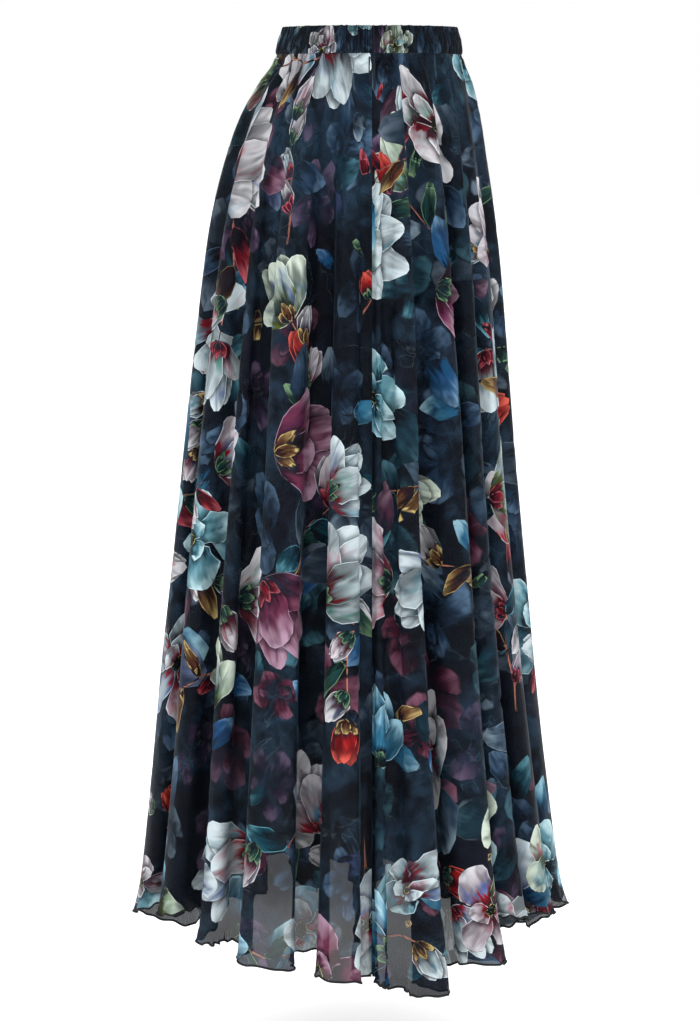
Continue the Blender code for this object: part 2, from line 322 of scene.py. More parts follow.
def on_ring(ring, degrees, along, outward, height):
    """Points at angles on a ring's oval, moved along the oval and outward from it, in metres."""
    angle = np.radians(degrees)
    depth = np.where(np.sin(angle) >= 0, ring.front, ring.back)
    angle = angle + along / np.hypot(ring.side * np.sin(angle), depth * np.cos(angle))
    depth = np.where(np.sin(angle) >= 0, ring.front, ring.back)
    normal_x, normal_y = np.cos(angle) / ring.side, np.sin(angle) / depth
    length = np.hypot(normal_x, normal_y)
    x = -ring.side * np.cos(angle) - outward * normal_x / length
    y = -depth * np.sin(angle) - outward * normal_y / length
    return np.stack((x, y, height), axis=1)


def ripple(place, seed, waves=4):
    """An uneven wave about 1 long and mostly from -1 to 1, made of sines of like length."""
    draw = random.Random(seed)
    total = np.zeros_like(place)
    for _ in range(waves):
        total += np.sin(2 * np.pi * (place * draw.uniform(*RIPPLE_PITCHES) + draw.random()))
    return total / math.sqrt(waves) / RIPPLE_PEAK


# --- The chiffon's form ------------------------------------------------------------------------
STARTS = np.array([fold.start for fold in FOLDS])
FOLD_WIDTHS = np.diff(np.append(STARTS, STARTS[0] + 360.0))
DEPTH_WIDTHS = np.minimum(FOLD_WIDTHS, DEEPEST_WIDTH)
VALLEY_WIDTHS = (np.roll(DEPTH_WIDTHS, 1) + DEPTH_WIDTHS) / 2 * [fold.deep for fold in FOLDS]
HEM_SECTION = SECTIONS[-2]  # at the usual height of the hem


def of_folds(name, index):
    return np.array([getattr(fold, name) for fold in FOLDS])[index]


def split_place(place):
    """Fold numbers, the shares of the way across them, and those shares on a soft step."""
    index = np.floor(place).astype(int)
    share = place - index
    return index % len(FOLDS), share, smooth(0.0, 1.0, share)


def seam_calm(place):
    """1 away from the side seams and 0 at them."""
    seams = np.array([0.0, BACK_FOLDS, len(FOLDS)])
    distance = np.abs(place[:, None] - seams).min(axis=1)
    return smooth(0.0, SEAM_CALM, distance)


def plain_hem(place):
    """The height of the hem of the solid."""
    index, share, passing = split_place(place)
    after = (index + 1) % len(FOLDS)
    valley = (1 + np.cos(2 * np.pi * share)) / 2
    low = between(of_folds("valley_hem", index), of_folds("valley_hem", after), passing)
    hem = between(of_folds("crest_hem", index), low, valley**HEM_SHARPNESS)
    return hem - of_folds("tilt", index) * np.sin(2 * np.pi * share)


def hem_metres(place):
    """Roughly how far along the hem a place is."""
    return place * 2 * math.pi * HEM_SECTION.side * HEM_FULLNESS / len(FOLDS)


def hem_height(place):
    """The height of the hem, with the small waves that its stretched edge makes."""
    wave = ripple(hem_metres(place) / HEM_WAVE_DROP_LENGTH, seed=11)
    return plain_hem(place) + HEM_WAVE_DROP * wave * seam_calm(place)


def plain_chiffon(place, height):
    """Points on the middle of the chiffon's solid."""
    index, share, passing = split_place(place)
    turn = 2 * np.pi * share
    section = read_table(SECTIONS, height)
    metres = np.radians((section.side * 2 + section.back + section.front) / 4)
    unit = section.fold * metres
    depth_first = unit * VALLEY_WIDTHS[index]
    depth_last = unit * VALLEY_WIDTHS[(index + 1) % len(FOLDS)]
    depth_here = between(depth_first, depth_last, passing)
    inset = np.maximum(0.0, (depth_first + depth_last) / 2 - unit * DEPTH_WIDTHS[index])
    outward = -between(inset, depth_here, (1 + np.cos(turn)) / 2)
    along = section.roll * metres * FOLD_WIDTHS[index] * np.sin(2 * turn)
    along += of_folds("lean", index) * (outward + depth_here)
    outward -= section.gather * (1 - np.cos(turn * of_folds("gathers", index))) / 2
    degrees = STARTS[index] + share * FOLD_WIDTHS[index]
    return on_ring(section, degrees, along, outward, height)


def unit_rows(vectors):
    return vectors / np.maximum(np.linalg.norm(vectors, axis=1), 1e-12)[:, None]


def chiffon_normals(place, height):
    """Directions straight out of the chiffon's right side."""
    step_place, step_height = 0.004, 0.001
    across = plain_chiffon(place + step_place, height) - plain_chiffon(place - step_place, height)
    down = plain_chiffon(place, height - step_height) - plain_chiffon(place, height + step_height)
    return unit_rows(np.cross(down, across))


def tuck(place, height):
    """How far the gathers are drawn in or let out where they are sewn to the band."""
    index, share, _ = split_place(place)
    dip = (1 - np.cos(2 * np.pi * share * of_folds("gathers", index))) / 2
    gather = read_table(SECTIONS, height).gather
    return -(TUCK_DEPTH - gather * dip) * (1 - smooth(0.0, TUCK_HEIGHT, PANEL_TOP - height))


def clear_of_lining(points):
    """Moves the points that lie against the lining out from it."""
    height = points[:, 2]
    ring = read_table(LINING_RINGS, height)
    down = (PANEL_TOP - height) / (PANEL_TOP + LINING_LENGTH)
    room = LINING_ROOM + (LINING_WAVE_DEPTH + LINING_CREASE) * down
    depth = np.where(points[:, 1] <= 0.0, ring.front, ring.back) + room
    reach = np.hypot(points[:, 0] / (ring.side + room), points[:, 1] / depth)
    lined = height > -LINING_LENGTH - LINING_ROOM_END
    points[:, :2] *= np.where(lined, np.maximum(1.0, 1.0 / reach), 1.0)[:, None]
    return points


def relief(place, height):
    """How far the finer form stands out of the plain chiffon: gathers, ripples and creases."""
    below_band = PANEL_TOP - height
    fading = np.exp(-below_band / FINE_GATHER_LENGTH) * smooth(0.0, FINE_GATHER_START, below_band)
    out = FINE_GATHER_DEPTH * fading * ripple(place * FINE_GATHERS, seed=3)
    ripples = ripple(place * SOFT_RIPPLES + height * SOFT_RIPPLE_SLANT, seed=7)
    out += SOFT_RIPPLE_DEPTH * smooth(*SOFT_RIPPLE_RANGE, below_band) * ripples
    metres_a_fold = read_table(SECTIONS, height).side * 2 * math.pi * BODY_FULLNESS / len(FOLDS)
    for crease in CREASES:
        way = (crease.top - height) / (crease.top - crease.bottom)
        middle = crease.place + crease.drift * way
        distance = (place - middle) * metres_a_fold / crease.width
        window = smooth(0.0, CREASE_FADES[0], way) * smooth(0.0, CREASE_FADES[1], 1 - way)
        out += crease.height * window * np.exp(-distance * distance)
    from_hem = height - plain_hem(place)
    wave = ripple(hem_metres(place) / HEM_WAVE_LENGTH, seed=5)
    out += HEM_WAVE_DEPTH * wave * np.exp(-np.maximum(from_hem, 0.0) / HEM_WAVE_REACH)
    return out * seam_calm(place)


def chiffon_points(place, height):
    """Points on the middle of the chiffon, with its finer form."""
    out = relief(place, height) + tuck(place, height)
    points = plain_chiffon(place, height) + chiffon_normals(place, height) * out[:, None]
    return clear_of_lining(points)


def lining_points(degrees, height):
    """Points on the middle of the lining, with its soft waves and a shallow fold at its hem."""
    down = (PANEL_TOP - height) / (PANEL_TOP + LINING_LENGTH)
    wave = np.sin(np.radians(degrees) * LINING_WAVES) * LINING_WAVE_DEPTH * down
    creases = degrees / LINING_CREASE_DEGREES + height * LINING_CREASE_SLANT
    wave += LINING_CREASE * down * ripple(creases, seed=21)
    above_edge = height + LINING_LENGTH
    wave += LINING_HEM_STEP * smooth(LINING_HEM, LINING_HEM - LINING_HEM_EDGE, above_edge)
    return on_ring(read_table(LINING_RINGS, height), degrees, 0.0, wave, height)


# --- Flat cuts -----------------------------------------------------------------------------------
def places_across(panel, count):
    """Evenly numbered places across a chiffon panel, from one side seam to the other."""
    return np.linspace(panel.first_fold + SEAM_INSET, panel.last_fold - SEAM_INSET, count)


def step_lengths(points):
    return np.linalg.norm(np.diff(points, axis=0), axis=1)


class Cut:
    """A flat cut of cloth; its size and area are noted when its sheet is made."""

    size = (0.0, 0.0)
    area = 0.0

    def lift(self, flat):
        """How high the cloth lies in its fine gathers, from 0 in a valley to 1; it also sets
        painted shade.
        """
        return np.zeros(len(flat))


class ChiffonCut(Cut):
    """The flat cut of a chiffon panel, a sector of a ring, and how it hangs in its folds."""

    def __init__(self, panel):
        self.places = places_across(panel, FAN_SAMPLES)
        steps = step_lengths(plain_chiffon(self.places, np.full(FAN_SAMPLES, FAN_HEIGHT)))
        self.shares = np.append(0.0, np.cumsum(steps)) / steps.sum()

    def flat(self, share, height):
        """Where a share of the way across and a height lie on the flat cloth."""
        angle = FAN_ANGLE * (share - 0.5)
        radius = FAN_RADIUS + PANEL_TOP - height
        return np.stack((radius * np.sin(angle), radius * np.cos(angle)), axis=1)

    def spot(self, across, down):
        """Where a share of the way across and down lies on the flat cloth."""
        angle, radius = FAN_ANGLE * (across - 0.5), FAN_RADIUS + FULL_LENGTH * down
        return np.array((radius * math.sin(angle), radius * math.cos(angle)))

    def rows(self):
        """The flat points of each row, which get closer together towards the hem."""
        shares = np.concatenate((
            np.linspace(0.0, CHIFFON_TOP_SHARE, CHIFFON_TOP_ROWS, endpoint=False),
            np.linspace(CHIFFON_TOP_SHARE, CHIFFON_HEM_SHARE, CHIFFON_ROWS, endpoint=False),
            np.linspace(CHIFFON_HEM_SHARE, 1.0, CHIFFON_HEM_ROWS),
        ))
        for share in shares:
            columns = CHIFFON_HEM_COLUMNS if share > CHIFFON_HEM_SHARE else CHIFFON_COLUMNS
            across = np.linspace(0.0, 1.0, columns + 1)
            hem = hem_height(np.interp(across, self.shares, self.places))
            yield self.flat(across, between(PANEL_TOP, hem, share))

    def drape(self, flat):
        """The worn place of points on the flat cloth."""
        share = np.arctan2(flat[:, 0], flat[:, 1]) / FAN_ANGLE + 0.5
        height = PANEL_TOP + FAN_RADIUS - np.hypot(flat[:, 0], flat[:, 1])
        place = np.interp(share, self.shares, self.places)
        return chiffon_points(place, np.minimum(height, PANEL_TOP))


class BandCut(Cut):
    """The flat cut of half a waistband: a strip that runs up outside, over it and down inside."""

    def __init__(self, panel):
        self.panel = panel
        ring = BAND_RINGS[1]
        depth = (ring.front + ring.back) / 2
        self.width = math.pi * math.sqrt((ring.side**2 + depth**2) / 2) * BAND_FULLNESS
        self.face = BAND_HEIGHT - BAND_WALL / 2
        self.reach = 2 * self.face + math.pi * BAND_WALL / 2

    def spot(self, across, down):
        return np.array((self.width * (across - 0.5), self.reach * down))

    def rows(self):
        for share in np.linspace(0.0, 1.0, BAND_ROWS):
            across = np.linspace(0.0, 1.0, BAND_COLUMNS + 1)
            yield np.stack(self.spot(across, np.full_like(across, share)), axis=1)

    def lift(self, flat):
        """Rounded gathers with sharp valleys, unevenly spaced and of uneven strength."""
        across = flat[:, 0] / self.width + 0.5
        counted = across * BAND_GATHERS + 0.55 * ripple(across * 31.0, seed=13)
        counted += 0.20 * ripple(across * 17.0 + flat[:, 1] * 40.0, seed=17)
        crest = np.abs(np.sin(np.pi * counted)) ** BAND_PINCH
        strength = 0.75 + 0.30 * ripple(across * 23.0 + flat[:, 1] * 12.0, seed=19)
        return crest * np.clip(strength, 0.2, 1.0)

    def drape(self, flat):
        across = flat[:, 0] / self.width + 0.5
        way = np.clip(flat[:, 1], 0.0, self.reach)
        turn = np.clip((way - self.face) / (BAND_WALL / 2), 0.0, math.pi)
        up = np.where(turn <= 0.0, way, self.reach - way)
        height = np.minimum(up, self.face) - BAND_HEIGHT / 2 + BAND_WALL / 2 * np.sin(turn)
        inward = BAND_WALL / 2 * (1 - np.cos(turn))

        calm = smooth(0.0, BAND_SEAM_CALM, across) * smooth(0.0, BAND_SEAM_CALM, 1 - across)
        above_foot = smooth(*BAND_FOOT, height + BAND_HEIGHT / 2)
        ridge = BAND_RIDGE * self.lift(flat) * calm * between(BAND_FOOT_RIDGE, 1.0, above_foot)
        out = np.where(inward < BAND_WALL / 2, ridge, -BAND_INNER_RIDGE * ridge)
        out += BAND_PUFF * above_foot - inward
        height = height + BAND_TOP_RIDGE * ridge * np.sin(turn)
        degrees = between(self.panel.first_degrees, self.panel.last_degrees, across)
        return on_ring(read_table(BAND_RINGS, height), degrees, 0.0, out, height)


class LiningCut(Cut):
    """The flat cut of a lining panel, which widens evenly from the waist to its hem."""

    def __init__(self, panel):
        self.degrees = (panel.first_degrees + LINING_INSET, panel.last_degrees - LINING_INSET)
        self.top, self.hem = (self.round_at(height) for height in (PANEL_TOP, -LINING_LENGTH))

    def round_at(self, height):
        """The way round the lining at a height, along its waves."""
        degrees = np.linspace(*self.degrees, LINING_SAMPLES)
        return step_lengths(lining_points(degrees, np.full(LINING_SAMPLES, height))).sum()

    def width_at(self, down):
        return between(self.top, self.hem, down / (PANEL_TOP + LINING_LENGTH))

    def rows(self):
        """The flat points of each row, with close rows at the fold of the hem."""
        length = PANEL_TOP + LINING_LENGTH
        downs = np.append(np.linspace(0.0, length - LINING_HEM - LINING_HEM_EDGE, LINING_ROWS),
                          length - np.array(LINING_HEM_ROWS))
        across = np.linspace(-0.5, 0.5, LINING_COLUMNS + 1)
        for down in downs:
            yield np.stack((self.width_at(down) * across, np.full_like(across, down)), axis=1)

    def drape(self, flat):
        across = flat[:, 0] / self.width_at(flat[:, 1]) + 0.5
        return lining_points(between(*self.degrees, across), PANEL_TOP - flat[:, 1])


# --- The print -----------------------------------------------------------------------------------
# A petal's axis is the way from its base to its tip over the square of its length, so that its
# product with an offset from the base is the share of the way along the petal.
Inks = namedtuple("Inks", "root body wash tip")
Petal = namedtuple("Petal", "outline base axis half_width inks cover soft flower seed")


def ink(red, green, blue):
    """A linear colour from a screen colour of 0 to 255."""
    parts = np.array((red, green, blue)) / 255.0
    return np.where(parts <= 0.04045, parts / 12.92, ((parts + 0.055) / 1.055) ** 2.4)


def shades(root, body, wash, tip):
    """A petal's inks, from screen colours of 0 to 255."""
    return Inks(*(ink(*colour) for colour in (root, body, wash, tip)))


WHITE = shades((150, 8, 28), (148, 161, 166), (66, 116, 134), (190, 203, 208))
SHELL = shades((122, 26, 38), (156, 156, 160), (116, 106, 122), (198, 198, 202))
BLUSH = shades((158, 12, 32), (152, 142, 150), (126, 78, 96), (198, 196, 202))
GREENISH = shades((80, 92, 28), (140, 154, 144), (92, 122, 82), (192, 204, 190))
AQUA = shades((8, 50, 66), (96, 142, 154), (24, 86, 106), (178, 206, 212))
SKY = shades((6, 40, 70), (54, 118, 150), (14, 72, 106), (156, 198, 214))
TEAL = shades((4, 24, 32), (18, 64, 78), (10, 38, 52), (88, 144, 158))
MIST = shades((22, 32, 46), (70, 90, 108), (38, 60, 82), (146, 168, 184))
CRIMSON = shades((28, 4, 10), (98, 14, 26), (54, 12, 28), (164, 80, 90))
ROSE = shades((60, 8, 28), (100, 44, 68), (60, 24, 52), (162, 132, 152))
VIOLET = shades((14, 14, 38), (54, 62, 96), (26, 52, 82), (124, 140, 172))
COBALT = shades((6, 22, 50), (36, 86, 138), (14, 78, 116), (132, 178, 212))
POPPY = shades((60, 6, 10), (148, 22, 24), (88, 12, 20), (196, 84, 72))
GOLD = shades((48, 14, 10), (88, 62, 38), (66, 30, 24), (172, 150, 98))
LEAF = shades((8, 20, 18), (26, 50, 44), (12, 56, 58), (100, 128, 96))
HEART = shades((8, 12, 14), (24, 58, 44), (66, 40, 26), (176, 170, 96))
TWIG = shades((62, 12, 16), (102, 38, 36), (76, 18, 24), (156, 102, 84))
DIM_BLUE = shades((8, 13, 20), (34, 56, 80), (17, 31, 47), (88, 116, 144))
DIM_TEAL = shades((6, 13, 18), (24, 57, 70), (12, 33, 44), (74, 118, 132))
DIM_PLUM = shades((14, 9, 18), (48, 34, 56), (28, 20, 38), (108, 90, 118))
DIM_WINE = shades((18, 6, 12), (72, 24, 42), (38, 15, 31), (132, 86, 106))
DIM_GREY = shades((9, 13, 20), (48, 62, 76), (26, 38, 51), (103, 119, 134))
PALE_INKS = (WHITE, SHELL, BLUSH, GREENISH)
PALE_WASHES = (  # of the pale petals; None leaves a petal the wash of its own inks
    ink(44, 116, 142), None, ink(142, 48, 74), ink(60, 116, 104), None, ink(70, 92, 148),
)
BLOOM_INKS = (WHITE, BLUSH, AQUA, SHELL, GREENISH, WHITE, SKY, SHELL, WHITE, ROSE, AQUA, GREENISH)
SECOND_INKS = (BLUSH, AQUA, SHELL, GREENISH, SKY, MIST, WHITE)
HEM_INKS = (WHITE, BLUSH, AQUA, SHELL, WHITE, GREENISH)
CUP_INKS = (WHITE, BLUSH, SHELL, AQUA, WHITE, GREENISH, BLUSH, SKY)
BUD_INKS = (POPPY, BLUSH, WHITE, SHELL)
FILL_INKS = (
    DIM_BLUE, AQUA, DIM_TEAL, VIOLET, DIM_GREY, ROSE, MIST, SKY, DIM_GREY, TEAL, DIM_BLUE, COBALT,
)
LEAF_INKS = (LEAF, GOLD, LEAF, CRIMSON, GOLD, TEAL, LEAF)
SEPAL_INKS = (GOLD, LEAF, CRIMSON, LEAF)
DIM_INKS = (DIM_BLUE, DIM_TEAL, DIM_GREY, DIM_PLUM, DIM_BLUE, DIM_GREY, DIM_BLUE, DIM_WINE)

PANEL_SEED_STEP = 13  # from the print seed of the front panel to that of the back one
BAND_SEED_STEP = 22  # from the print seed of the front panel to that of the front casing
HEART_SEED = 2.0  # above the seeds of petals, which are from 0 to 1
HEM_SPAN = (0.90, 0.975)  # where open flowers fill the gaps, in shares of the way down a panel
ANY_WAY = (0.0, 6.3)  # radians
TWIG_STEPS = 5


def turned(vector, angle):
    cosine, sine = math.cos(angle), math.sin(angle)
    return np.array((vector[0] * cosine - vector[1] * sine, vector[0] * sine + vector[1] * cosine))


class Print:
    """The petals of a print in the order they are laid down, on flat cloth."""

    def __init__(self, seed):
        self.draw = random.Random(seed)
        self.petals = []
        self.flower = 0
        self.squeeze = np.eye(2)
        self.centre = np.zeros(2)

    def begin(self, centre, squeeze=1.0):
        """Starts a flower, foreshortened along some direction as if seen from one side."""
        self.flower += 1
        self.centre = np.array(centre)
        angle = self.draw.uniform(0.0, math.pi)
        along = np.array((math.cos(angle), math.sin(angle)))
        self.squeeze = np.eye(2) - (1 - squeeze) * np.outer(along, along)

    def place(self, points):
        return (points - self.centre) @ self.squeeze + self.centre

    def petal(self, base, angle, length, width, inks, point=0.5, wobble=0.08, bend=0.0, cover=1.0,
              soft=SOFT_RIM, corners=11, seed=None):
        """Adds a petal from its base along an angle; its point is 0.3 if blunt and 1 if sharp."""
        way = (1 - np.cos(np.linspace(0.0, math.pi, corners))) / 2
        belly = way**0.62 * (1 - way) ** point  # half the petal's width, before it is scaled
        belly *= width / 2 / belly.max()
        sides = []
        for side in (-1.0, 1.0):
            beat, shift = self.draw.uniform(1.2, 2.6), self.draw.uniform(0.0, 6.0)
            edge = belly * (1 + wobble * np.sin(2 * math.pi * beat * way + shift))
            sides.append(side * edge + bend * length * way * way)
        nick = 1 + 0.4 * wobble * np.sin(5.0 * way + self.draw.uniform(0.0, 6.0)) * way
        across = np.concatenate((sides[0], sides[1][-2:0:-1]))
        along = np.concatenate((way * nick, (way * nick)[-2:0:-1])) * length
        axis = np.array((math.cos(angle), math.sin(angle)))
        normal = np.array((-axis[1], axis[0]))
        outline = np.array(base) + along[:, None] * axis + across[:, None] * normal
        tip = self.place(np.array([base + axis * length]))[0]
        base = self.place(np.array([base]))[0]
        seed = seed or self.draw.random()
        wash = PALE_WASHES[int(seed * 1000) % len(PALE_WASHES)]
        if wash is not None and any(inks is pale for pale in PALE_INKS):
            inks = inks._replace(wash=wash)
        self.petals.append(Petal(
            self.place(outline), base, (tip - base) / max((tip - base) @ (tip - base), 1e-9),
            width / 2, inks, cover, soft, self.flower, seed,
        ))

    def bloom(self, centre, radius, inks, turn):
        """An open flower: uneven outer petals, a few inner ones and a heart."""
        draw = self.draw
        self.begin(centre, draw.uniform(0.50, 1.0))
        outer = draw.choice((5, 5, 6))
        order = list(range(outer))
        draw.shuffle(order)
        for k in order:
            angle = turn + 2 * math.pi * (k + draw.uniform(-0.22, 0.22)) / outer
            base = centre + turned((0.08 * radius, 0.0), angle)
            petal_inks = draw.choice(SECOND_INKS) if draw.random() < 0.22 else inks
            self.petal(base, angle, radius * draw.uniform(0.70, 1.15),
                       radius * draw.uniform(0.52, 0.88), petal_inks, draw.uniform(0.28, 0.70),
                       0.15, draw.uniform(-0.16, 0.16))
        for k in range(3):
            angle = turn + 0.5 + 2 * math.pi * (k + draw.uniform(-0.3, 0.3)) / 3
            self.petal(centre + turned((0.04 * radius, 0.0), angle), angle,
                       radius * draw.uniform(0.36, 0.66), radius * draw.uniform(0.34, 0.52), inks,
                       draw.uniform(0.30, 0.7), 0.15, draw.uniform(-0.3, 0.3), corners=6)
        self.petal(centre - turned((0.13 * radius, 0.0), turn), turn, 0.28 * radius, 0.24 * radius,
                   HEART, 0.5, 0.2, corners=6, seed=HEART_SEED)

    def cup(self, base, size, inks, angle):
        """A half-open flower seen from the side, on its sepals."""
        draw = self.draw
        self.begin(base)
        for lean in (-0.34, 0.34, -0.12):
            self.petal(base, angle + lean * draw.uniform(0.8, 1.2), size * draw.uniform(0.82, 1.0),
                       size * draw.uniform(0.34, 0.44), inks, 0.6, 0.10, draw.uniform(-0.1, 0.1))
        for lean in (0.52, -0.56, 0.10):
            self.petal(base, angle + lean * draw.uniform(0.8, 1.2),
                       size * draw.uniform(0.66, 0.86), size * draw.uniform(0.34, 0.46), inks,
                       0.45, 0.12, 0.35 * lean)
        self.sepals(base, 0.32 * size, angle)

    def bud(self, base, size, inks, angle):
        """A closed bud in its sepals."""
        self.begin(base)
        for lean in (-0.20, 0.20, 0.0):
            self.petal(base, angle + lean, size * self.draw.uniform(0.86, 1.0), size * 0.46, inks,
                       0.7, 0.10, -0.3 * lean, corners=6)
        self.sepals(base, 0.48 * size, angle)

    def sepals(self, base, size, angle):
        inks = self.draw.choice(SEPAL_INKS)
        for lean in (-0.6, 0.55, 0.0):
            self.petal(base, angle + lean, size * self.draw.uniform(0.7, 1.0), 0.42 * size, inks,
                       0.9, 0.1, corners=5)

    def leaf(self, base, size, inks, angle, cover=1.0, broad=0.35):
        self.begin(base)
        self.petal(base, angle, size, size * broad * self.draw.uniform(0.8, 1.2), inks, 0.85, 0.10,
                   self.draw.uniform(-0.25, 0.25), cover, corners=8)

    def twig(self, start, angle, length):
        """A thin crooked twig; returns its joints and the direction at each."""
        draw = self.draw
        joints, headings = [np.array(start)], [angle]
        for _ in range(TWIG_STEPS):
            angle += draw.uniform(-0.5, 0.5)
            step = length / TWIG_STEPS * draw.uniform(0.8, 1.2)
            joints.append(joints[-1] + turned((step, 0.0), angle))
            headings.append(angle)
        half = TWIG_WIDTH / 2
        sides = [turned((0.0, half * (1.25 - 0.15 * k)), way) for k, way in enumerate(headings)]
        left = [joint + side for joint, side in zip(joints, sides)]
        right = [joint - side for joint, side in zip(joints, sides)]
        self.begin(start)
        span = joints[-1] - joints[0]
        self.petals.append(Petal(
            np.array(right + left[::-1]), joints[0], span / (span @ span), half, TWIG, 1.0, 0.0,
            self.flower, 0.5 * draw.random(),
        ))
        return joints, headings

    def spray(self, start, size):
        """A twig with buds and leaves at its joints and a cup or a bud at its end."""
        draw = self.draw
        angle = draw.uniform(0.0, 2 * math.pi)
        joints, headings = self.twig(start, angle, size)
        for joint, heading in list(zip(joints, headings))[1:-1]:
            lean = heading + draw.choice((-1, 1)) * draw.uniform(0.5, 1.0)
            if draw.random() < 0.35:
                self.bud(joint, size * draw.uniform(0.24, 0.36), draw.choice(BUD_INKS), lean)
            else:
                self.leaf(joint, size * draw.uniform(0.26, 0.42), draw.choice(LEAF_INKS), lean)
        end, heading = joints[-1], headings[-1]
        if draw.random() < 0.6:
            self.cup(end, size * draw.uniform(0.42, 0.58), draw.choice(CUP_INKS), heading)
        else:
            self.bud(end, size * draw.uniform(0.26, 0.36), draw.choice(BUD_INKS), heading)

    def dim_bloom(self, centre, radius):
        """A flower that shows dimly in the ground."""
        draw = self.draw
        self.begin(centre, draw.uniform(0.6, 1.0))
        inks, turn, cover = draw.choice(DIM_INKS), draw.uniform(*ANY_WAY), draw.uniform(0.36, 0.98)
        outer, soft = draw.choice((4, 5, 5)), draw.uniform(0.0012, 0.0048)
        for k in range(outer + 2):
            size = radius if k < outer else 0.58 * radius
            share = k / outer if k < outer else (k - outer + 0.5) / 2
            angle = turn + 2 * math.pi * share + draw.uniform(-0.25, 0.25)
            self.petal(centre, angle, size * draw.uniform(0.75, 1.1),
                       size * draw.uniform(0.5, 0.85), inks, 0.45, 0.14, draw.uniform(-0.2, 0.2),
                       cover * draw.uniform(0.6, 1.0), soft * draw.uniform(0.7, 1.4), corners=6)

    def scatter(self, cut, spacing, tries, taken=(), span=(0.0, 1.0)):
        """Spots on a cut, each with free cloth round it as wide as the spacing.

        Each taken spot comes with the room that it keeps free. The span is the part of the way
        down the cut, in shares, that the new spots keep to.
        """
        spots = []
        for _ in range(tries):
            spot = cut.spot(self.draw.random(), self.draw.uniform(*span))
            gaps = [np.hypot(*(spot - other)) - reach for other, reach in (*taken, *spots)]
            if not gaps or min(gaps) > spacing:
                spots.append((spot, spacing))
        return [spot for spot, _ in spots]


def chiffon_print(cut, seed):
    """The chiffon's print: dim flowers, loose petals, clusters and open flowers along the hem."""
    made = Print(seed)
    draw = made.draw
    for spot in made.scatter(cut, 0.040, 1200):
        made.dim_bloom(spot, draw.uniform(0.040, 0.074))
    clusters = made.scatter(cut, 0.078, 4000)
    fixed = [(spot, 0.040) for spot in clusters]
    for spot in made.scatter(cut, 0.024, 900, fixed):
        loose_petal(made, spot, draw.uniform(0.032, 0.064), draw.uniform(*ANY_WAY))
    for number, spot in enumerate(clusters):
        cluster(made, spot, BLOOM_INKS[number % len(BLOOM_INKS)])
    for number, spot in enumerate(made.scatter(cut, 0.054, 400, fixed, HEM_SPAN)):
        inks, size = HEM_INKS[number % len(HEM_INKS)], draw.uniform(0.052, 0.070)
        made.bloom(spot, size, inks, draw.uniform(*ANY_WAY))
    return made.petals


def cluster(made, spot, inks):
    """A spray, mostly with two loose petals and a flower seen from the side or above over it."""
    draw = made.draw
    kind, angle, size = draw.random(), draw.uniform(*ANY_WAY), draw.uniform(0.060, 0.088)
    made.spray(spot, draw.uniform(0.13, 0.19))
    if kind < 0.12:
        return
    for _ in range(2):
        lean = draw.uniform(*ANY_WAY)
        start = spot + turned((0.5 * size, 0.0), lean)
        loose_petal(made, start, size * draw.uniform(0.7, 1.1), lean)
    if kind < 0.55:
        made.cup(spot - turned((0.6 * size, 0.0), angle), 1.4 * size, inks, angle)
    else:
        made.bloom(spot, size, inks, angle)


def loose_petal(made, spot, size, angle):
    """A dim petal, or now and then a leaf."""
    draw = made.draw
    if draw.random() < 0.14:
        made.leaf(spot, 0.8 * size, draw.choice(LEAF_INKS), angle)
    else:
        made.leaf(spot, size, draw.choice(FILL_INKS), angle, draw.uniform(0.4, 0.85), 0.6)


def band_print(cut, seed):
    """The print on the casing, at the scale of the skirt's."""
    made = Print(seed)
    draw = made.draw
    for spot in made.scatter(cut, 0.024, 500):
        made.dim_bloom(spot, draw.uniform(0.030, 0.050))
    for number, spot in enumerate(made.scatter(cut, 0.026, 900)):
        size, angle = draw.uniform(0.026, 0.042), draw.uniform(*ANY_WAY)
        if draw.random() < 0.4:
            made.bloom(spot, size, BLOOM_INKS[number % len(BLOOM_INKS)], angle)
        else:
            loose_petal(made, spot, size, angle)
    return made.petals


# --- Meshes --------------------------------------------------------------------------------------
def triangulated(rows, outlines):
    """Points and triangles of a flat sheet that has every outline among its edges.

    Also gives, for each triangle, the number of the last outline that holds it, or -1.
    """
    rows = [np.asarray(row) for row in rows]
    starts = np.cumsum([0] + [len(row) for row in rows])
    sides_down = [int(starts[k + 1] - 1) for k in range(1, len(rows))]
    sides_up = [int(starts[k]) for k in range(len(rows) - 2, 0, -1)]
    rim = list(range(len(rows[0]))) + sides_down
    rim += list(range(int(starts[-1]) - 2, int(starts[-2]) - 1, -1)) + sides_up
    faces, count = [rim], int(starts[-1])
    for outline in outlines:
        faces.append(list(range(count, count + len(outline))))
        count += len(outline)
    points = [Vector(point) for point in np.concatenate(rows + outlines)]
    points, _, faces, _, _, face_owners = delaunay_2d_cdt(
        points, [], faces, INSIDE_ONLY, MERGE_DISTANCE, True,
    )
    owned = [(face, max(owners)) for face, owners in zip(faces, face_owners) if 0 in owners]
    triangles = np.array([face for face, _ in owned])
    used, triangles = np.unique(triangles, return_inverse=True)
    flat = np.array([points[k] for k in used])
    return flat, triangles.reshape(-1, 3), np.array([owner - 1 for _, owner in owned])


def triangle_normals(points, triangles):
    """Directions out of triangles, each as long as twice its triangle's area."""
    a, b, c = (points[triangles[:, k]] for k in range(3))
    return np.cross(b - a, c - a)


def vertex_normals(points, triangles):
    normals = triangle_normals(points, triangles)
    total = np.zeros_like(points)
    for k in range(3):
        np.add.at(total, triangles[:, k], normals)
    return unit_rows(total)


def open_edges(triangles):
    """The directed edges that only one triangle has."""
    edges = triangles[:, [0, 1, 1, 2, 2, 0]].reshape(-1, 2)
    _, place, count = np.unique(
        np.sort(edges, axis=1), axis=0, return_index=True, return_counts=True,
    )
    return edges[place[count == 1]]


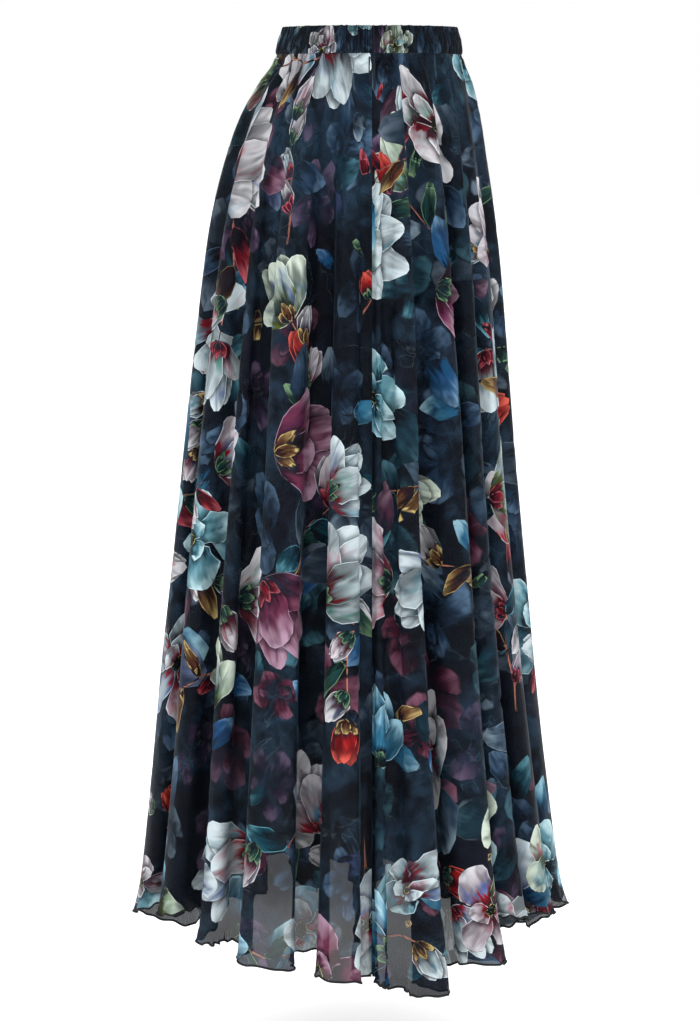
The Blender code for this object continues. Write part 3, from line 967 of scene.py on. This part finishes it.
def shell(name, points, triangles, wall, materials):
    """A closed thin shell with an outer side, an inner side and a rim, in that order of faces."""
    normals = vertex_normals(points, triangles)
    count = len(points)
    rim = open_edges(triangles)
    walls = np.concatenate((
        np.stack((rim[:, 1], rim[:, 0], rim[:, 0] + count), axis=1),
        np.stack((rim[:, 1], rim[:, 0] + count, rim[:, 1] + count), axis=1),
    ))
    both = np.concatenate((points + normals * wall / 2, points - normals * wall / 2))
    faces = np.concatenate((triangles, triangles[:, ::-1] + count, walls))
    mesh = bpy.data.meshes.new(name)
    mesh.from_pydata(both.tolist(), [], faces.tolist())
    for material in materials:
        mesh.materials.append(material)
    inner = np.zeros(len(faces), np.int32)
    inner[len(triangles):] = len(materials) - 1
    mesh.polygons.foreach_set("material_index", inner)
    mesh.shade_smooth()
    ends = np.empty(len(mesh.edges) * 2, np.int32)
    mesh.edges.foreach_get("vertices", ends)
    ends = np.sort(ends.reshape(-1, 2), axis=1)
    rims = np.sort(np.concatenate((rim, rim + count)), axis=1)
    keys = ends[:, 0].astype(np.int64) * 2 * count + ends[:, 1]
    sharp = np.isin(keys, rims[:, 0].astype(np.int64) * 2 * count + rims[:, 1])
    mesh.edges.foreach_set("use_edge_sharp", sharp)
    return mesh


def outward_facing(points, triangles):
    """The triangles, turned over if most of them face the skirt's axis."""
    out = (triangle_normals(points, triangles) * points[triangles[:, 0]])[:, :2].sum()
    return triangles if out > 0 else triangles[:, ::-1]


def distance_to(points, outline):
    """How far each point is from a closed outline."""
    start, step = outline, np.roll(outline, -1, axis=0) - outline
    offset = points[:, None] - start
    share = (offset * step).sum(axis=2) / np.maximum((step * step).sum(axis=1), 1e-12)
    share = np.clip(share, 0.0, 1.0)[:, :, None]
    return np.linalg.norm(offset - share * step, axis=2).min(axis=1)


def paint(mesh, flat, triangles, owner, petals):
    """Gives each corner of a printed shell its place in its petal and the petal's inks."""
    corners = triangles.reshape(-1)
    total = len(mesh.loops)
    marks = np.zeros((total, 3))  # along its petal, across it, and the petal's seed
    edges = np.zeros((total, 3))  # centimetres to its edge and to a petal above, and its soft rim
    inks = {name: np.zeros((total, 4)) for name in Inks._fields}
    by_petal = np.argsort(owner, kind="stable")
    limits = np.searchsorted(owner[by_petal], np.arange(len(petals) + 1))
    flowers = {}  # the petals of each flower from the top one down
    for number in range(len(petals) - 1, -1, -1):
        petal = petals[number]
        laid = flowers.setdefault(petal.flower, [])
        laid.append(petal)
        found = by_petal[limits[number]:limits[number + 1]]
        if not len(found):
            continue
        at = (found[:, None] * 3 + np.arange(3)).reshape(-1)
        spots = flat[corners[at]]
        offset = spots - petal.base
        across = offset[:, 1] * petal.axis[0] - offset[:, 0] * petal.axis[1]
        across /= np.hypot(*petal.axis)
        marks[at] = np.stack((offset @ petal.axis, across / petal.half_width,
                              np.full(len(at), petal.seed)), axis=1)
        above = laid[:-1] if petal.soft <= SOFT_RIM else []
        near = [distance_to(spots, other.outline) for other in above]
        edges[at] = CENTIMETRES * np.stack((
            distance_to(spots, petal.outline), np.minimum.reduce([np.ones(len(at)), *near]),
            np.full(len(at), petal.soft),
        ), axis=1)
        for name, colours in inks.items():
            colours[at, :3] = getattr(petal.inks, name)
            colours[at, 3] = petal.cover
    for name, values in (("petal_marks", marks), ("petal_edges", edges)):
        layer = mesh.attributes.new(name, "FLOAT_VECTOR", "CORNER")
        layer.data.foreach_set("vector", values.ravel())
    for name, values in inks.items():
        layer = mesh.attributes.new("ink_" + name, "FLOAT_COLOR", "CORNER")
        layer.data.foreach_set("color", values.ravel())


def hung_sheet(name, cut, petals, wall, materials):
    """A thin sheet of cloth, cut flat and hung in its worn form; notes the cut's size and area."""
    flat, triangles, owner = triangulated(cut.rows(), [petal.outline for petal in petals])
    cut.size = tuple(np.ptp(flat, axis=0))
    sides = flat[triangles[:, 1:]] - flat[triangles[:, :1]]
    cut.area = float(np.abs(np.cross(sides[:, 0], sides[:, 1])).sum() / 2)
    points = cut.drape(flat)
    triangles = outward_facing(points, triangles)
    mesh = shell(name, points, triangles, wall, materials)
    # the third part is the lift, by which the printed material paints shade into the gathers'
    # valleys
    cloth = np.column_stack((flat, cut.lift(flat)))
    cloth = np.concatenate((cloth, cloth))
    mesh.attributes.new("cloth", "FLOAT_VECTOR", "POINT").data.foreach_set("vector", cloth.ravel())
    if petals:
        paint(mesh, flat, triangles, owner, petals)
    return add_piece(name, mesh)


def add_object(name, data):
    thing = bpy.data.objects.new(name, data)
    bpy.context.scene.collection.objects.link(thing)
    return thing


def add_piece(name, mesh):
    piece = add_object(name, mesh)
    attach(piece, ROOT)
    return piece


def bar(name, path, out, half_out, half_side, sides, swell, material):
    """A closed bar along a path: out is the direction of its half_out at each point."""
    tangents = unit_rows(np.gradient(path, axis=0))
    side = unit_rows(np.cross(tangents, out))
    out = np.cross(side, tangents)
    turns = 2 * np.pi * np.arange(sides) / sides
    size = (1 + swell)[:, None, None]
    rings = path[:, None] + size * (
        half_out * np.cos(turns)[None, :, None] * out[:, None]
        + half_side * np.sin(turns)[None, :, None] * side[:, None]
    )
    count = len(path)
    first = np.arange(count - 1)[:, None] * sides + np.arange(sides)
    after = np.arange(count - 1)[:, None] * sides + (np.arange(sides) + 1) % sides
    quads = np.stack((first, after, after + sides, first + sides), axis=2).reshape(-1, 4).tolist()
    ends = [list(range(sides))[::-1], list(range((count - 1) * sides, count * sides))]
    mesh = bpy.data.meshes.new(name)
    mesh.from_pydata(rings.reshape(-1, 3).tolist(), [], quads + ends)
    mesh.materials.append(material)
    mesh.shade_smooth()
    return add_piece(name, mesh)


# --- Shader tools --------------------------------------------------------------------------------
class Value:
    """A shader value; sums on it add their Math nodes."""

    def __init__(self, shader, socket):
        self.shader = shader
        self.socket = socket

    def maths(self, operation, first, second):
        node = self.shader.add("ShaderNodeMath", {"operation": operation}, {0: first, 1: second})
        return node.out("Value")

    def __add__(self, other):
        return self.maths("ADD", self, other)

    def __sub__(self, other):
        return self.maths("SUBTRACT", self, other)

    def __rsub__(self, other):
        return self.maths("SUBTRACT", other, self)

    def __mul__(self, other):
        return self.maths("MULTIPLY", self, other)

    def __truediv__(self, other):
        return self.maths("DIVIDE", self, other)

    def __rtruediv__(self, other):
        return self.maths("DIVIDE", other, self)

    def __abs__(self):
        return self.maths("ABSOLUTE", self, 0.0)

    __radd__ = __add__
    __rmul__ = __mul__


class Node:
    """A node and the shader that it is in."""

    def __init__(self, shader, node):
        self.shader = shader
        self.node = node

    def out(self, name):
        return Value(self.shader, self.node.outputs[name])


class Shader:
    """A material's nodes, added one by one."""

    def __init__(self, name):
        self.material = bpy.data.materials.new(name)
        self.material.use_nodes = True
        self.tree = self.material.node_tree
        self.surface = self.tree.nodes["Principled BSDF"]

    def link(self, socket, value):
        if isinstance(value, Value):
            self.tree.links.new(value.socket, socket)
        else:
            socket.default_value = value

    def add(self, kind, settings, inputs):
        node = self.tree.nodes.new(kind)
        for name, value in settings.items():
            setattr(node, name, value)
        for name, value in inputs.items():
            self.link(node.inputs[name], value)
        return Node(self, node)

    def finish(self, inputs):
        for name, value in inputs.items():
            self.link(self.surface.inputs[name], value)
        return self.material

    def attribute(self, name, output="Vector"):
        return self.add("ShaderNodeAttribute", {"attribute_name": name}, {}).out(output)

    def parts(self, vector):
        split = self.add("ShaderNodeSeparateXYZ", {}, {"Vector": vector})
        return split.out("X"), split.out("Y"), split.out("Z")

    def joined(self, x, y, z):
        return self.add("ShaderNodeCombineXYZ", {}, {"X": x, "Y": y, "Z": z}).out("Vector")

    def noise(self, vector, scale, detail=3.0, distortion=0.0):
        settings = {"noise_dimensions": "3D"}
        inputs = {"Vector": vector, "Scale": scale, "Detail": detail, "Distortion": distortion}
        return self.add("ShaderNodeTexNoise", settings, inputs).out("Fac")

    def wave(self, value, count):
        """A sine of the value that runs from -1 to 1 count times in each metre."""
        turns = value * (2 * math.pi * count)
        return turns.maths("SINE", turns, 0.0)

    def step(self, low, high, value):
        settings = {"interpolation_type": "SMOOTHSTEP"}
        inputs = {"Value": value, "From Min": low, "From Max": high}
        return self.add("ShaderNodeMapRange", settings, inputs).out("Result")

    def mix(self, share, first, last):
        """A colour between two others."""
        node = self.add("ShaderNodeMix", {"data_type": "RGBA"}, {0: share, 6: first, 7: last})
        return Value(self, node.node.outputs[2])

    def scaled(self, colour, amount):
        settings, inputs = {"operation": "SCALE"}, {0: colour, "Scale": amount}
        return self.add("ShaderNodeVectorMath", settings, inputs).out("Vector")

    def bump(self, height, distance, strength=1.0):
        inputs = {"Height": height, "Distance": distance, "Strength": strength}
        return self.add("ShaderNodeBump", {}, inputs).out("Normal")


def rgba(colour):
    return (*colour, 1.0)


# --- Materials -----------------------------------------------------------------------------------
def misty_ground(shader, cloth, look):
    """The print's ground: clouds of teal and plum on near black, with pale flecks and wisps."""
    clouds = shader.noise(cloth, 5.5, 4.0, 0.9) * 0.60 + shader.noise(cloth, 22.0, 5.0, 1.4) * 0.40
    ground = shader.mix(shader.step(0.46, 0.62, clouds), rgba(look.ground), rgba(look.mist))
    brush = shader.step(0.30, 0.70, shader.noise(cloth, 46.0, 2.0, 1.2))
    ground = shader.scaled(ground, 0.60 + brush * 0.80)
    plum = shader.step(0.55, 0.80, shader.noise(shader.scaled(cloth, -1.0), 8.0, 3.0, 0.6))
    ground = shader.mix(plum * 0.5, ground, rgba(look.plum))
    flecks = shader.step(0.80, 0.84, shader.noise(cloth, 300.0, 1.0))
    patches = shader.step(0.66, 0.74, shader.noise(cloth, 19.0, 2.0))
    ground = shader.mix(patches * flecks * 0.5, ground, rgba(look.fleck))
    strokes = 1 - shader.step(0.003, 0.011, abs(shader.noise(cloth, 17.0, 3.0, 1.6) - 0.5))
    wisps = strokes * shader.step(0.50, 0.62, shader.noise(cloth, 11.0, 2.0))
    return shader.mix(wisps * 0.05, ground, rgba(look.fleck))


def petal_colour(shader, cloth, along, across, seed, edge, above, look):
    """A petal's colour: its inks washed into each other, with a marked root, a shade and a rim.

    Also gives how well the ink covers, which thins out towards the petal's root.
    """
    root, body, wash, tip = (shader.attribute("ink_" + name, "Color") for name in Inks._fields)
    broad = shader.noise(shader.joined(along * 1.2, across * 0.9, seed * 37.0), 1.8, 1.5, 0.6)
    pools = shader.noise(shader.joined(across * 0.8, along * 1.3, seed * 71.0), 1.6, 2.0, 0.6)
    streaks = shader.noise(shader.joined(along * 0.5, across * 4.0, seed * 53.0), 2.2, 3.0, 0.5)
    streaks = streaks - 0.5
    heart = shader.step(1.2, 1.8, seed)  # 1 in the hearts of flowers, which are dotted
    voronoi = shader.add("ShaderNodeTexVoronoi", {}, {"Vector": cloth, "Scale": 420.0})
    dots = voronoi.out("Distance")
    rise = along + (broad - 0.5) * 0.8 + streaks * 0.35
    rise = rise * (1 - heart) + (1.15 - dots * 1.9) * heart
    colour = shader.mix(shader.step(0.50, 1.05, rise), body, tip)
    pools = pools * 1.2 - along * 0.45 + streaks * 0.3
    colour = shader.mix(shader.step(0.24, 0.66, pools) * 0.90, colour, wash)
    near_root = 1 - shader.step(0.04, 0.26, rise + streaks * 0.4 - seed * 0.28)
    colour = shader.mix(near_root, colour, root)

    light = shader.step(0.28, 0.70, broad + across * (seed - 0.5) * 0.7 + along * 0.12)
    colour = shader.scaled(colour, 0.44 + light * 0.56 + streaks * 0.06)
    shadow = (1 - shader.step(0.0, 0.60, above)) * 0.62
    colour = shader.mix(shadow, colour, rgba(look.ground))
    line = (1 - shader.step(0.015, 0.07, edge)) * (1 - shader.step(0.36, 0.46, broad)) * 0.7
    colour = shader.mix(line, colour, rgba(look.ground))

    # Only petals that cover well have a pale rim; the dim ones go without.
    solid = shader.step(0.60, 1.00, shader.attribute("ink_body", "Alpha"))
    rim = (1 - shader.step(0.06, 0.12, edge)) * shader.step(0.40, 0.50, broad) * solid
    reach = shader.step(0.50, 0.95, seed) * (1 - heart) * 0.50
    cover = 0.25 + shader.step(-0.14, 0.26, along + (broad - 0.5) * 0.6 - reach) * 0.75
    return shader.mix(rim, colour, shader.scaled(tip, 1.15)), cover * (0.84 + light * 0.16)


def away_from_hem(shader, cloth):
    """1 over most of the flat cut of a chiffon panel and 0 along its hem."""
    node = shader.add("ShaderNodeVectorMath", {"operation": "LENGTH"}, {0: cloth})
    start, end = (FAN_RADIUS + FULL_LENGTH - above_hem for above_hem in SHEER_HEM)
    return 1 - shader.step(start, end, node.out("Value"))


def printed_material(name, look, ground_cover, petal_cover, valley):
    """The right side of the printed chiffon; valley sets the painted shade in the shirring's
    valleys.
    """
    shader = Shader(name)
    cloth = shader.attribute("cloth")
    along, across, seed = shader.parts(shader.attribute("petal_marks"))
    edge, above, soft = shader.parts(shader.attribute("petal_edges"))
    colour, ink_cover = petal_colour(shader, cloth, along, across, seed, edge, above, look)
    inside = shader.step(0.0, 1.0, edge / (soft + 0.02))
    cover = shader.attribute("ink_body", "Alpha") * inside * ink_cover

    # Along the hem the ground hides as much as the setting says; higher up, half of the rest too.
    dense = away_from_hem(shader, cloth) * (1 - ground_cover) * 0.5 + ground_cover
    lift = shader.parts(cloth)[2]
    colour = shader.mix(cover, misty_ground(shader, cloth, look), colour)
    room = 1 - ground_cover + 0.001  # never 0, also where the ground hides everything
    return shader.finish({
        # painted shade: the colour darkens where the cloth lies low in its gathers, as far as
        # valley says
        "Base Color": shader.scaled(colour, 1 - valley * (1 - lift)),
        "Roughness": look.roughness,
        "Specular IOR Level": look.gloss,
        "Alpha": dense + cover * (petal_cover - ground_cover) * (1 - dense) / room,
        "Sheen Weight": look.sheen,
        "Sheen Roughness": 0.30,
        "Sheen Tint": rgba(look.sheen_tint),
        "Normal": shader.bump(shader.noise(cloth, CREPE_SCALE, 1.0), CREPE_DEPTH, 0.05),
    })


def wrong_side_material(name, look):
    """The back of the chiffon, where the print shows only as a grey tone."""
    shader = Shader(name)
    cloth = shader.attribute("cloth")
    tone = shader.step(0.3, 0.7, shader.noise(cloth, 26.0, 3.0, 0.5))
    return shader.finish({
        "Base Color": shader.mix(tone, rgba(look.wrong_side), rgba(look.mist)),
        "Roughness": look.roughness,
        "Specular IOR Level": look.gloss,
        "Alpha": tone * 0.06 + look.wrong_side_cover,
        "Normal": shader.bump(shader.noise(cloth, CREPE_SCALE, 1.0), CREPE_DEPTH, 0.25),
    })


def lining_material(trim):
    """Plain black woven lining: crossing threads, faint slubs and soft changes in its tone."""
    shader = Shader("Black Woven Lining")
    cloth = shader.attribute("cloth")
    across, down, _ = shader.parts(cloth)
    threads = shader.wave(across, LINING_THREADS) * shader.wave(down, LINING_THREADS)
    slubs = shader.noise(shader.joined(across * 3.0, down * 90.0, 0.0), 4.0, 2.0)
    clouds = shader.noise(cloth, 9.0, 3.0)
    return shader.finish({
        "Base Color": shader.scaled(tuple(trim.lining), 0.75 + slubs * 0.25 + clouds * 0.25),
        "Roughness": 0.50 + clouds * 0.14,
        "Specular IOR Level": 0.25,
        "Sheen Weight": 0.05,
        "Normal": shader.bump(threads * 0.5 + slubs, 0.00012, 0.4),
    })


def thread_material(trim):
    """Overlocking thread: stitches round the edge, each a twist of fine fibres."""
    shader = Shader("Overlock Thread")
    place = shader.add("ShaderNodeTexCoord", {}, {}).out("Object")
    fibres = shader.noise(place, 2600.0, 2.0)
    clumps = shader.noise(place, 240.0, 2.0)
    return shader.finish({
        "Base Color": shader.scaled(tuple(trim.thread), 0.6 + fibres * 0.5 + clumps * 0.3),
        "Roughness": 0.72,
        "Specular IOR Level": 0.25,
        "Normal": shader.bump(fibres, 0.00015, 0.6),
    })


def floor_material(studio):
    shader = Shader("Pale Studio Floor")
    place = shader.add("ShaderNodeTexCoord", {}, {}).out("Object")
    tone = shader.noise(place, 1.3, 2.0) * 0.02 + 0.98
    return shader.finish({
        "Base Color": shader.scaled(tuple(studio.floor), tone),
        "Roughness": 0.85,
        "Emission Color": WHITE_LIGHT,
        "Emission Strength": studio.floor_glow,
        "Normal": shader.bump(shader.noise(place, 60.0, 2.0), 0.0004, 0.2),
    })


# --- Settings ------------------------------------------------------------------------------------
def colour_setting(name, description, red, green, blue):
    return bpy.props.FloatVectorProperty(
        name=name, description=description, default=tuple(ink(red, green, blue)),
        size=3, min=0.0, max=1.0, subtype="COLOR",
    )


def number_setting(name, description, default, **kind):
    return bpy.props.FloatProperty(name=name, description=description, default=default, **kind)


def share_setting(name, description, default):
    return number_setting(name, description, default, min=0.0, max=1.0, subtype="FACTOR")


def size_setting(name, description, default):
    return number_setting(name, description, default, min=0.0, precision=4, subtype="DISTANCE",
                          unit="LENGTH")


def power_setting(name, description, default):
    return number_setting(name, description, default, min=0.0, unit="POWER")


class ChiffonLook(bpy.types.PropertyGroup):
    """Colours and cover of the printed chiffon."""

    ground: colour_setting("Ground", "Darkest colour of the print's ground", 8, 13, 21)
    mist: colour_setting("Mist", "Colour of the clouds in the ground", 24, 39, 53)
    plum: colour_setting("Plum", "Colour of the ground's violet clouds", 24, 20, 36)
    fleck: colour_setting("Flecks", "Colour of the small flecks in the ground", 150, 176, 186)
    wrong_side: colour_setting("Wrong Side", "Colour of the cloth's back", 58, 62, 68)
    ground_cover: share_setting("Ground Cover", "How much the ground hides what is behind", 0.84)
    petal_cover: share_setting("Petal Cover", "How much a petal hides what is behind", 0.85)
    wrong_side_cover: share_setting("Back Cover", "How much the cloth's back hides", 0.56)
    roughness: share_setting("Roughness", "Roughness of the crepe surface", 0.62)
    gloss: share_setting("Gloss", "Strength of the cloth's plain reflections", 0.06)
    sheen: share_setting("Sheen", "Strength of the cloth's soft sheen", 0.08)
    sheen_tint: colour_setting("Sheen Tint", "Colour of the cloth's soft sheen", 190, 220, 240)
    print_seed: bpy.props.IntProperty(
        name="Print Seed", description="Number that the layout of the print grows from", default=8,
    )


class TrimLook(bpy.types.PropertyGroup):
    """Colours and sizes of the lining, the hem's stitches and the seams."""

    lining: colour_setting("Lining", "Colour of the lining", 26, 26, 28)
    thread: colour_setting("Thread", "Colour of the overlocking thread", 16, 18, 22)
    stitch: size_setting("Stitch", "Distance from one hem stitch to the next", 0.0016)
    edge_height: size_setting("Edge Height", "Height of the stitched edge of the hem", 0.0025)
    seam_width: size_setting("Seam Width", "Width of the overlocked side seams", 0.0070)


class StudioLook(bpy.types.PropertyGroup):
    """Floor and lights of the pale studio."""

    floor: colour_setting("Floor", "Colour of the floor", 250, 250, 250)
    floor_glow: share_setting("Floor Glow", "Light from below, as from a lit white sweep", 0.48)
    floor_height: number_setting("Floor Height", "Height of the floor under the hem", -1.10,
                                 subtype="DISTANCE", unit="LENGTH")
    world: number_setting("Surroundings", "Strength of the white surroundings", 1.0, min=0.0)
    key: power_setting("Key Light", "Power of the large light by the camera", 60.0)
    fill: power_setting("Fill Lights", "Power of each softer light, at the side and behind", 30.0)


# --- Pieces --------------------------------------------------------------------------------------
def declare(node):
    """Hides the solid that the piece stands for."""
    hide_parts(node)


def along_hem(panel, step):
    """Places at even steps along a panel's hem."""
    places = places_across(panel, HEM_SAMPLES)
    points = chiffon_points(places, hem_height(places))
    way = np.append(0.0, np.cumsum(step_lengths(points)))
    return np.interp(np.linspace(0.0, way[-1], int(way[-1] / step)), way, places)


def hem_edge(panel, trim, material):
    """The overlocked edge of a panel's hem, with a swelling for each stitch."""
    places = along_hem(panel, trim.stitch / SAMPLES_A_STITCH)
    heights = hem_height(places)
    path = chiffon_points(places, heights + HEM_EDGE_RAISE * trim.edge_height)
    stitches = 2 * np.pi * np.arange(len(places)) / SAMPLES_A_STITCH
    swell = HEM_STITCH_SWELL * np.cos(stitches)
    return bar("hem_edge_" + panel.name, path, chiffon_normals(places, heights),
               HEM_EDGE_HALF, trim.edge_height / 2, HEM_EDGE_SIDES, swell, material)


def side_seam(name, place, trim, material):
    """The overlocked allowance on the inside of a side seam, from the band to the hem."""
    hem = plain_hem(np.array([place]))[0]
    heights = np.arange(PANEL_TOP - SEAM_START, hem + SEAM_END, -SEAM_STEP)
    places = np.full(len(heights), place)
    normals = chiffon_normals(places, heights)
    path = chiffon_points(places, heights) - SEAM_OFFSET * normals
    swell = SEAM_STITCH_SWELL * np.cos(2 * np.pi * heights / trim.stitch)
    return bar(name, path, normals, SEAM_HALF, trim.seam_width / 2, SEAM_SIDES, swell, material)


class SkirtOperator(bpy.types.Operator):
    """Base of the skirt's operators."""

    bl_options = {"REGISTER", "UNDO"}


class SKIRT_OT_waistband(SkirtOperator):
    """Adds the shirred casing of both halves of the waistband"""

    bl_idname = "skirt.waistband"
    bl_label = "Waistband"

    def execute(self, context):
        look = context.scene.skirt_chiffon
        # valley=0.8 paints shade into the valleys of the shirring
        printed = printed_material("Shirred Printed Chiffon", look, 1.0, 1.0, valley=0.8)
        for number, panel in enumerate(PANELS):
            cut = BandCut(panel)
            petals = band_print(cut, look.print_seed + BAND_SEED_STEP + number)
            piece = hung_sheet("casing_" + panel.name, cut, petals, CASING_WALL, [printed])
            declare("waistband_" + panel.name)
        return {"FINISHED"}


class SKIRT_OT_lining(SkirtOperator):
    """Adds the plain woven lining, shorter and narrower than the chiffon"""

    bl_idname = "skirt.lining"
    bl_label = "Lining"

    def execute(self, context):
        woven = lining_material(context.scene.skirt_trim)
        for panel in PANELS:
            cut = LiningCut(panel)
            piece = hung_sheet("lining_cloth_" + panel.name, cut, [], LINING_WALL, [woven])
            declare("lining_" + panel.name)
        return {"FINISHED"}


class SKIRT_OT_seams(SkirtOperator):
    """Adds the overlocked side seams on the inside of the chiffon"""

    bl_idname = "skirt.seams"
    bl_label = "Side Seams"

    def execute(self, context):
        trim = context.scene.skirt_trim
        thread = thread_material(trim)
        for name, place in (("right", float(BACK_FOLDS)), ("left", 0.0)):
            piece = side_seam("side_seam_" + name, place, trim, thread)
        return {"FINISHED"}


class SKIRT_OT_chiffon(SkirtOperator):
    """Adds the printed chiffon of the front and the back, with their overlocked hems"""

    bl_idname = "skirt.chiffon"
    bl_label = "Chiffon Panels"

    def execute(self, context):
        look, trim = context.scene.skirt_chiffon, context.scene.skirt_trim
        covers = look.ground_cover, look.petal_cover
        printed = printed_material("Printed Chiffon", look, *covers, valley=0.0)
        wrong_side = wrong_side_material("Wrong Side of the Chiffon", look)
        thread = thread_material(trim)
        for number, (panel, seam) in enumerate(zip(PANELS, ("right", "left"))):
            cut = ChiffonCut(panel)
            petals = chiffon_print(cut, look.print_seed + PANEL_SEED_STEP * number)
            piece = hung_sheet("chiffon_" + panel.name, cut, petals, CHIFFON_WALL,
                               [printed, wrong_side])
            edge = hem_edge(panel, trim, thread)
            declare("skirt_" + panel.name)
        return {"FINISHED"}


class SKIRT_OT_stage(SkirtOperator):
    """Adds the pale floor, the soft studio lights and the camera"""

    bl_idname = "skirt.stage"
    bl_label = "Studio"

    def execute(self, context):
        scene, studio = context.scene, context.scene.skirt_studio
        mesh = bpy.data.meshes.new("floor")
        corners = [(x * FLOOR_REACH, y * FLOOR_REACH, studio.floor_height)
                   for x, y in ((-1, -1), (1, -1), (1, 1), (-1, 1))]
        mesh.from_pydata(corners, [], [(0, 1, 2, 3)])
        mesh.materials.append(floor_material(studio))
        add_object("floor", mesh)

        for name, place, size, power in LIGHTS:
            area_light(name, place, size, getattr(studio, power))

        world = bpy.data.worlds.new("Studio")
        world.use_nodes = True
        background = world.node_tree.nodes["Background"]
        background.inputs["Color"].default_value = WHITE_LIGHT
        background.inputs["Strength"].default_value = studio.world
        scene.world = world

        data = bpy.data.cameras.new("camera")
        data.sensor_fit = "VERTICAL"
        data.sensor_width = data.sensor_height = SENSOR
        data.lens = SENSOR * FOCAL_PIXELS / PICTURE_HEIGHT
        camera = add_object("camera", data)
        camera.location = CAMERA_PLACE
        camera.rotation_euler = (math.radians(90.0 - CAMERA_DOWN), 0.0, math.radians(-90.0))
        scene.camera = camera
        scene.view_settings.view_transform = "Standard"
        scene.cycles.transparent_max_bounces = CLOTH_LAYERS
        return {"FINISHED"}


def area_light(name, place, size, power):
    """A large square light that faces the middle of the skirt."""
    data = bpy.data.lights.new(name, "AREA")
    data.shape = "SQUARE"
    data.size = size
    data.energy = power
    light = add_object(name, data)
    light.location = place
    facing = Vector(LIGHTS_AIM) - light.location
    light.rotation_euler = facing.to_track_quat("-Z", "Y").to_euler()


class SKIRT_PT_parts(bpy.types.Panel):
    """The skirt's colours and its operators"""

    bl_label = "Printed Maxi Skirt"
    bl_space_type = "VIEW_3D"
    bl_region_type = "UI"
    bl_category = "Skirt"

    def draw(self, context):
        for group in ("skirt_chiffon", "skirt_trim", "skirt_studio"):
            settings = getattr(context.scene, group)
            box = self.layout.box()
            for name in settings.__annotations__:
                box.prop(settings, name)
        for operator in OPERATORS:
            self.layout.operator(operator.bl_idname)


OPERATORS = (SKIRT_OT_waistband, SKIRT_OT_lining, SKIRT_OT_seams, SKIRT_OT_chiffon, SKIRT_OT_stage)
GROUPS = {"skirt_chiffon": ChiffonLook, "skirt_trim": TrimLook, "skirt_studio": StudioLook}
CLASSES = (*GROUPS.values(), *OPERATORS, SKIRT_PT_parts)


def register():
    for kind in CLASSES:
        bpy.utils.register_class(kind)
    for name, group in GROUPS.items():
        setattr(bpy.types.Scene, name, bpy.props.PointerProperty(type=group))


def unregister():
    for name in GROUPS:
        delattr(bpy.types.Scene, name)
    for kind in reversed(CLASSES):
        bpy.utils.unregister_class(kind)


def main():
    register()
    for operator in OPERATORS:
        group, name = operator.bl_idname.split(".")
        getattr(getattr(bpy.ops, group), name)()


if __name__ == "__main__":
    main()
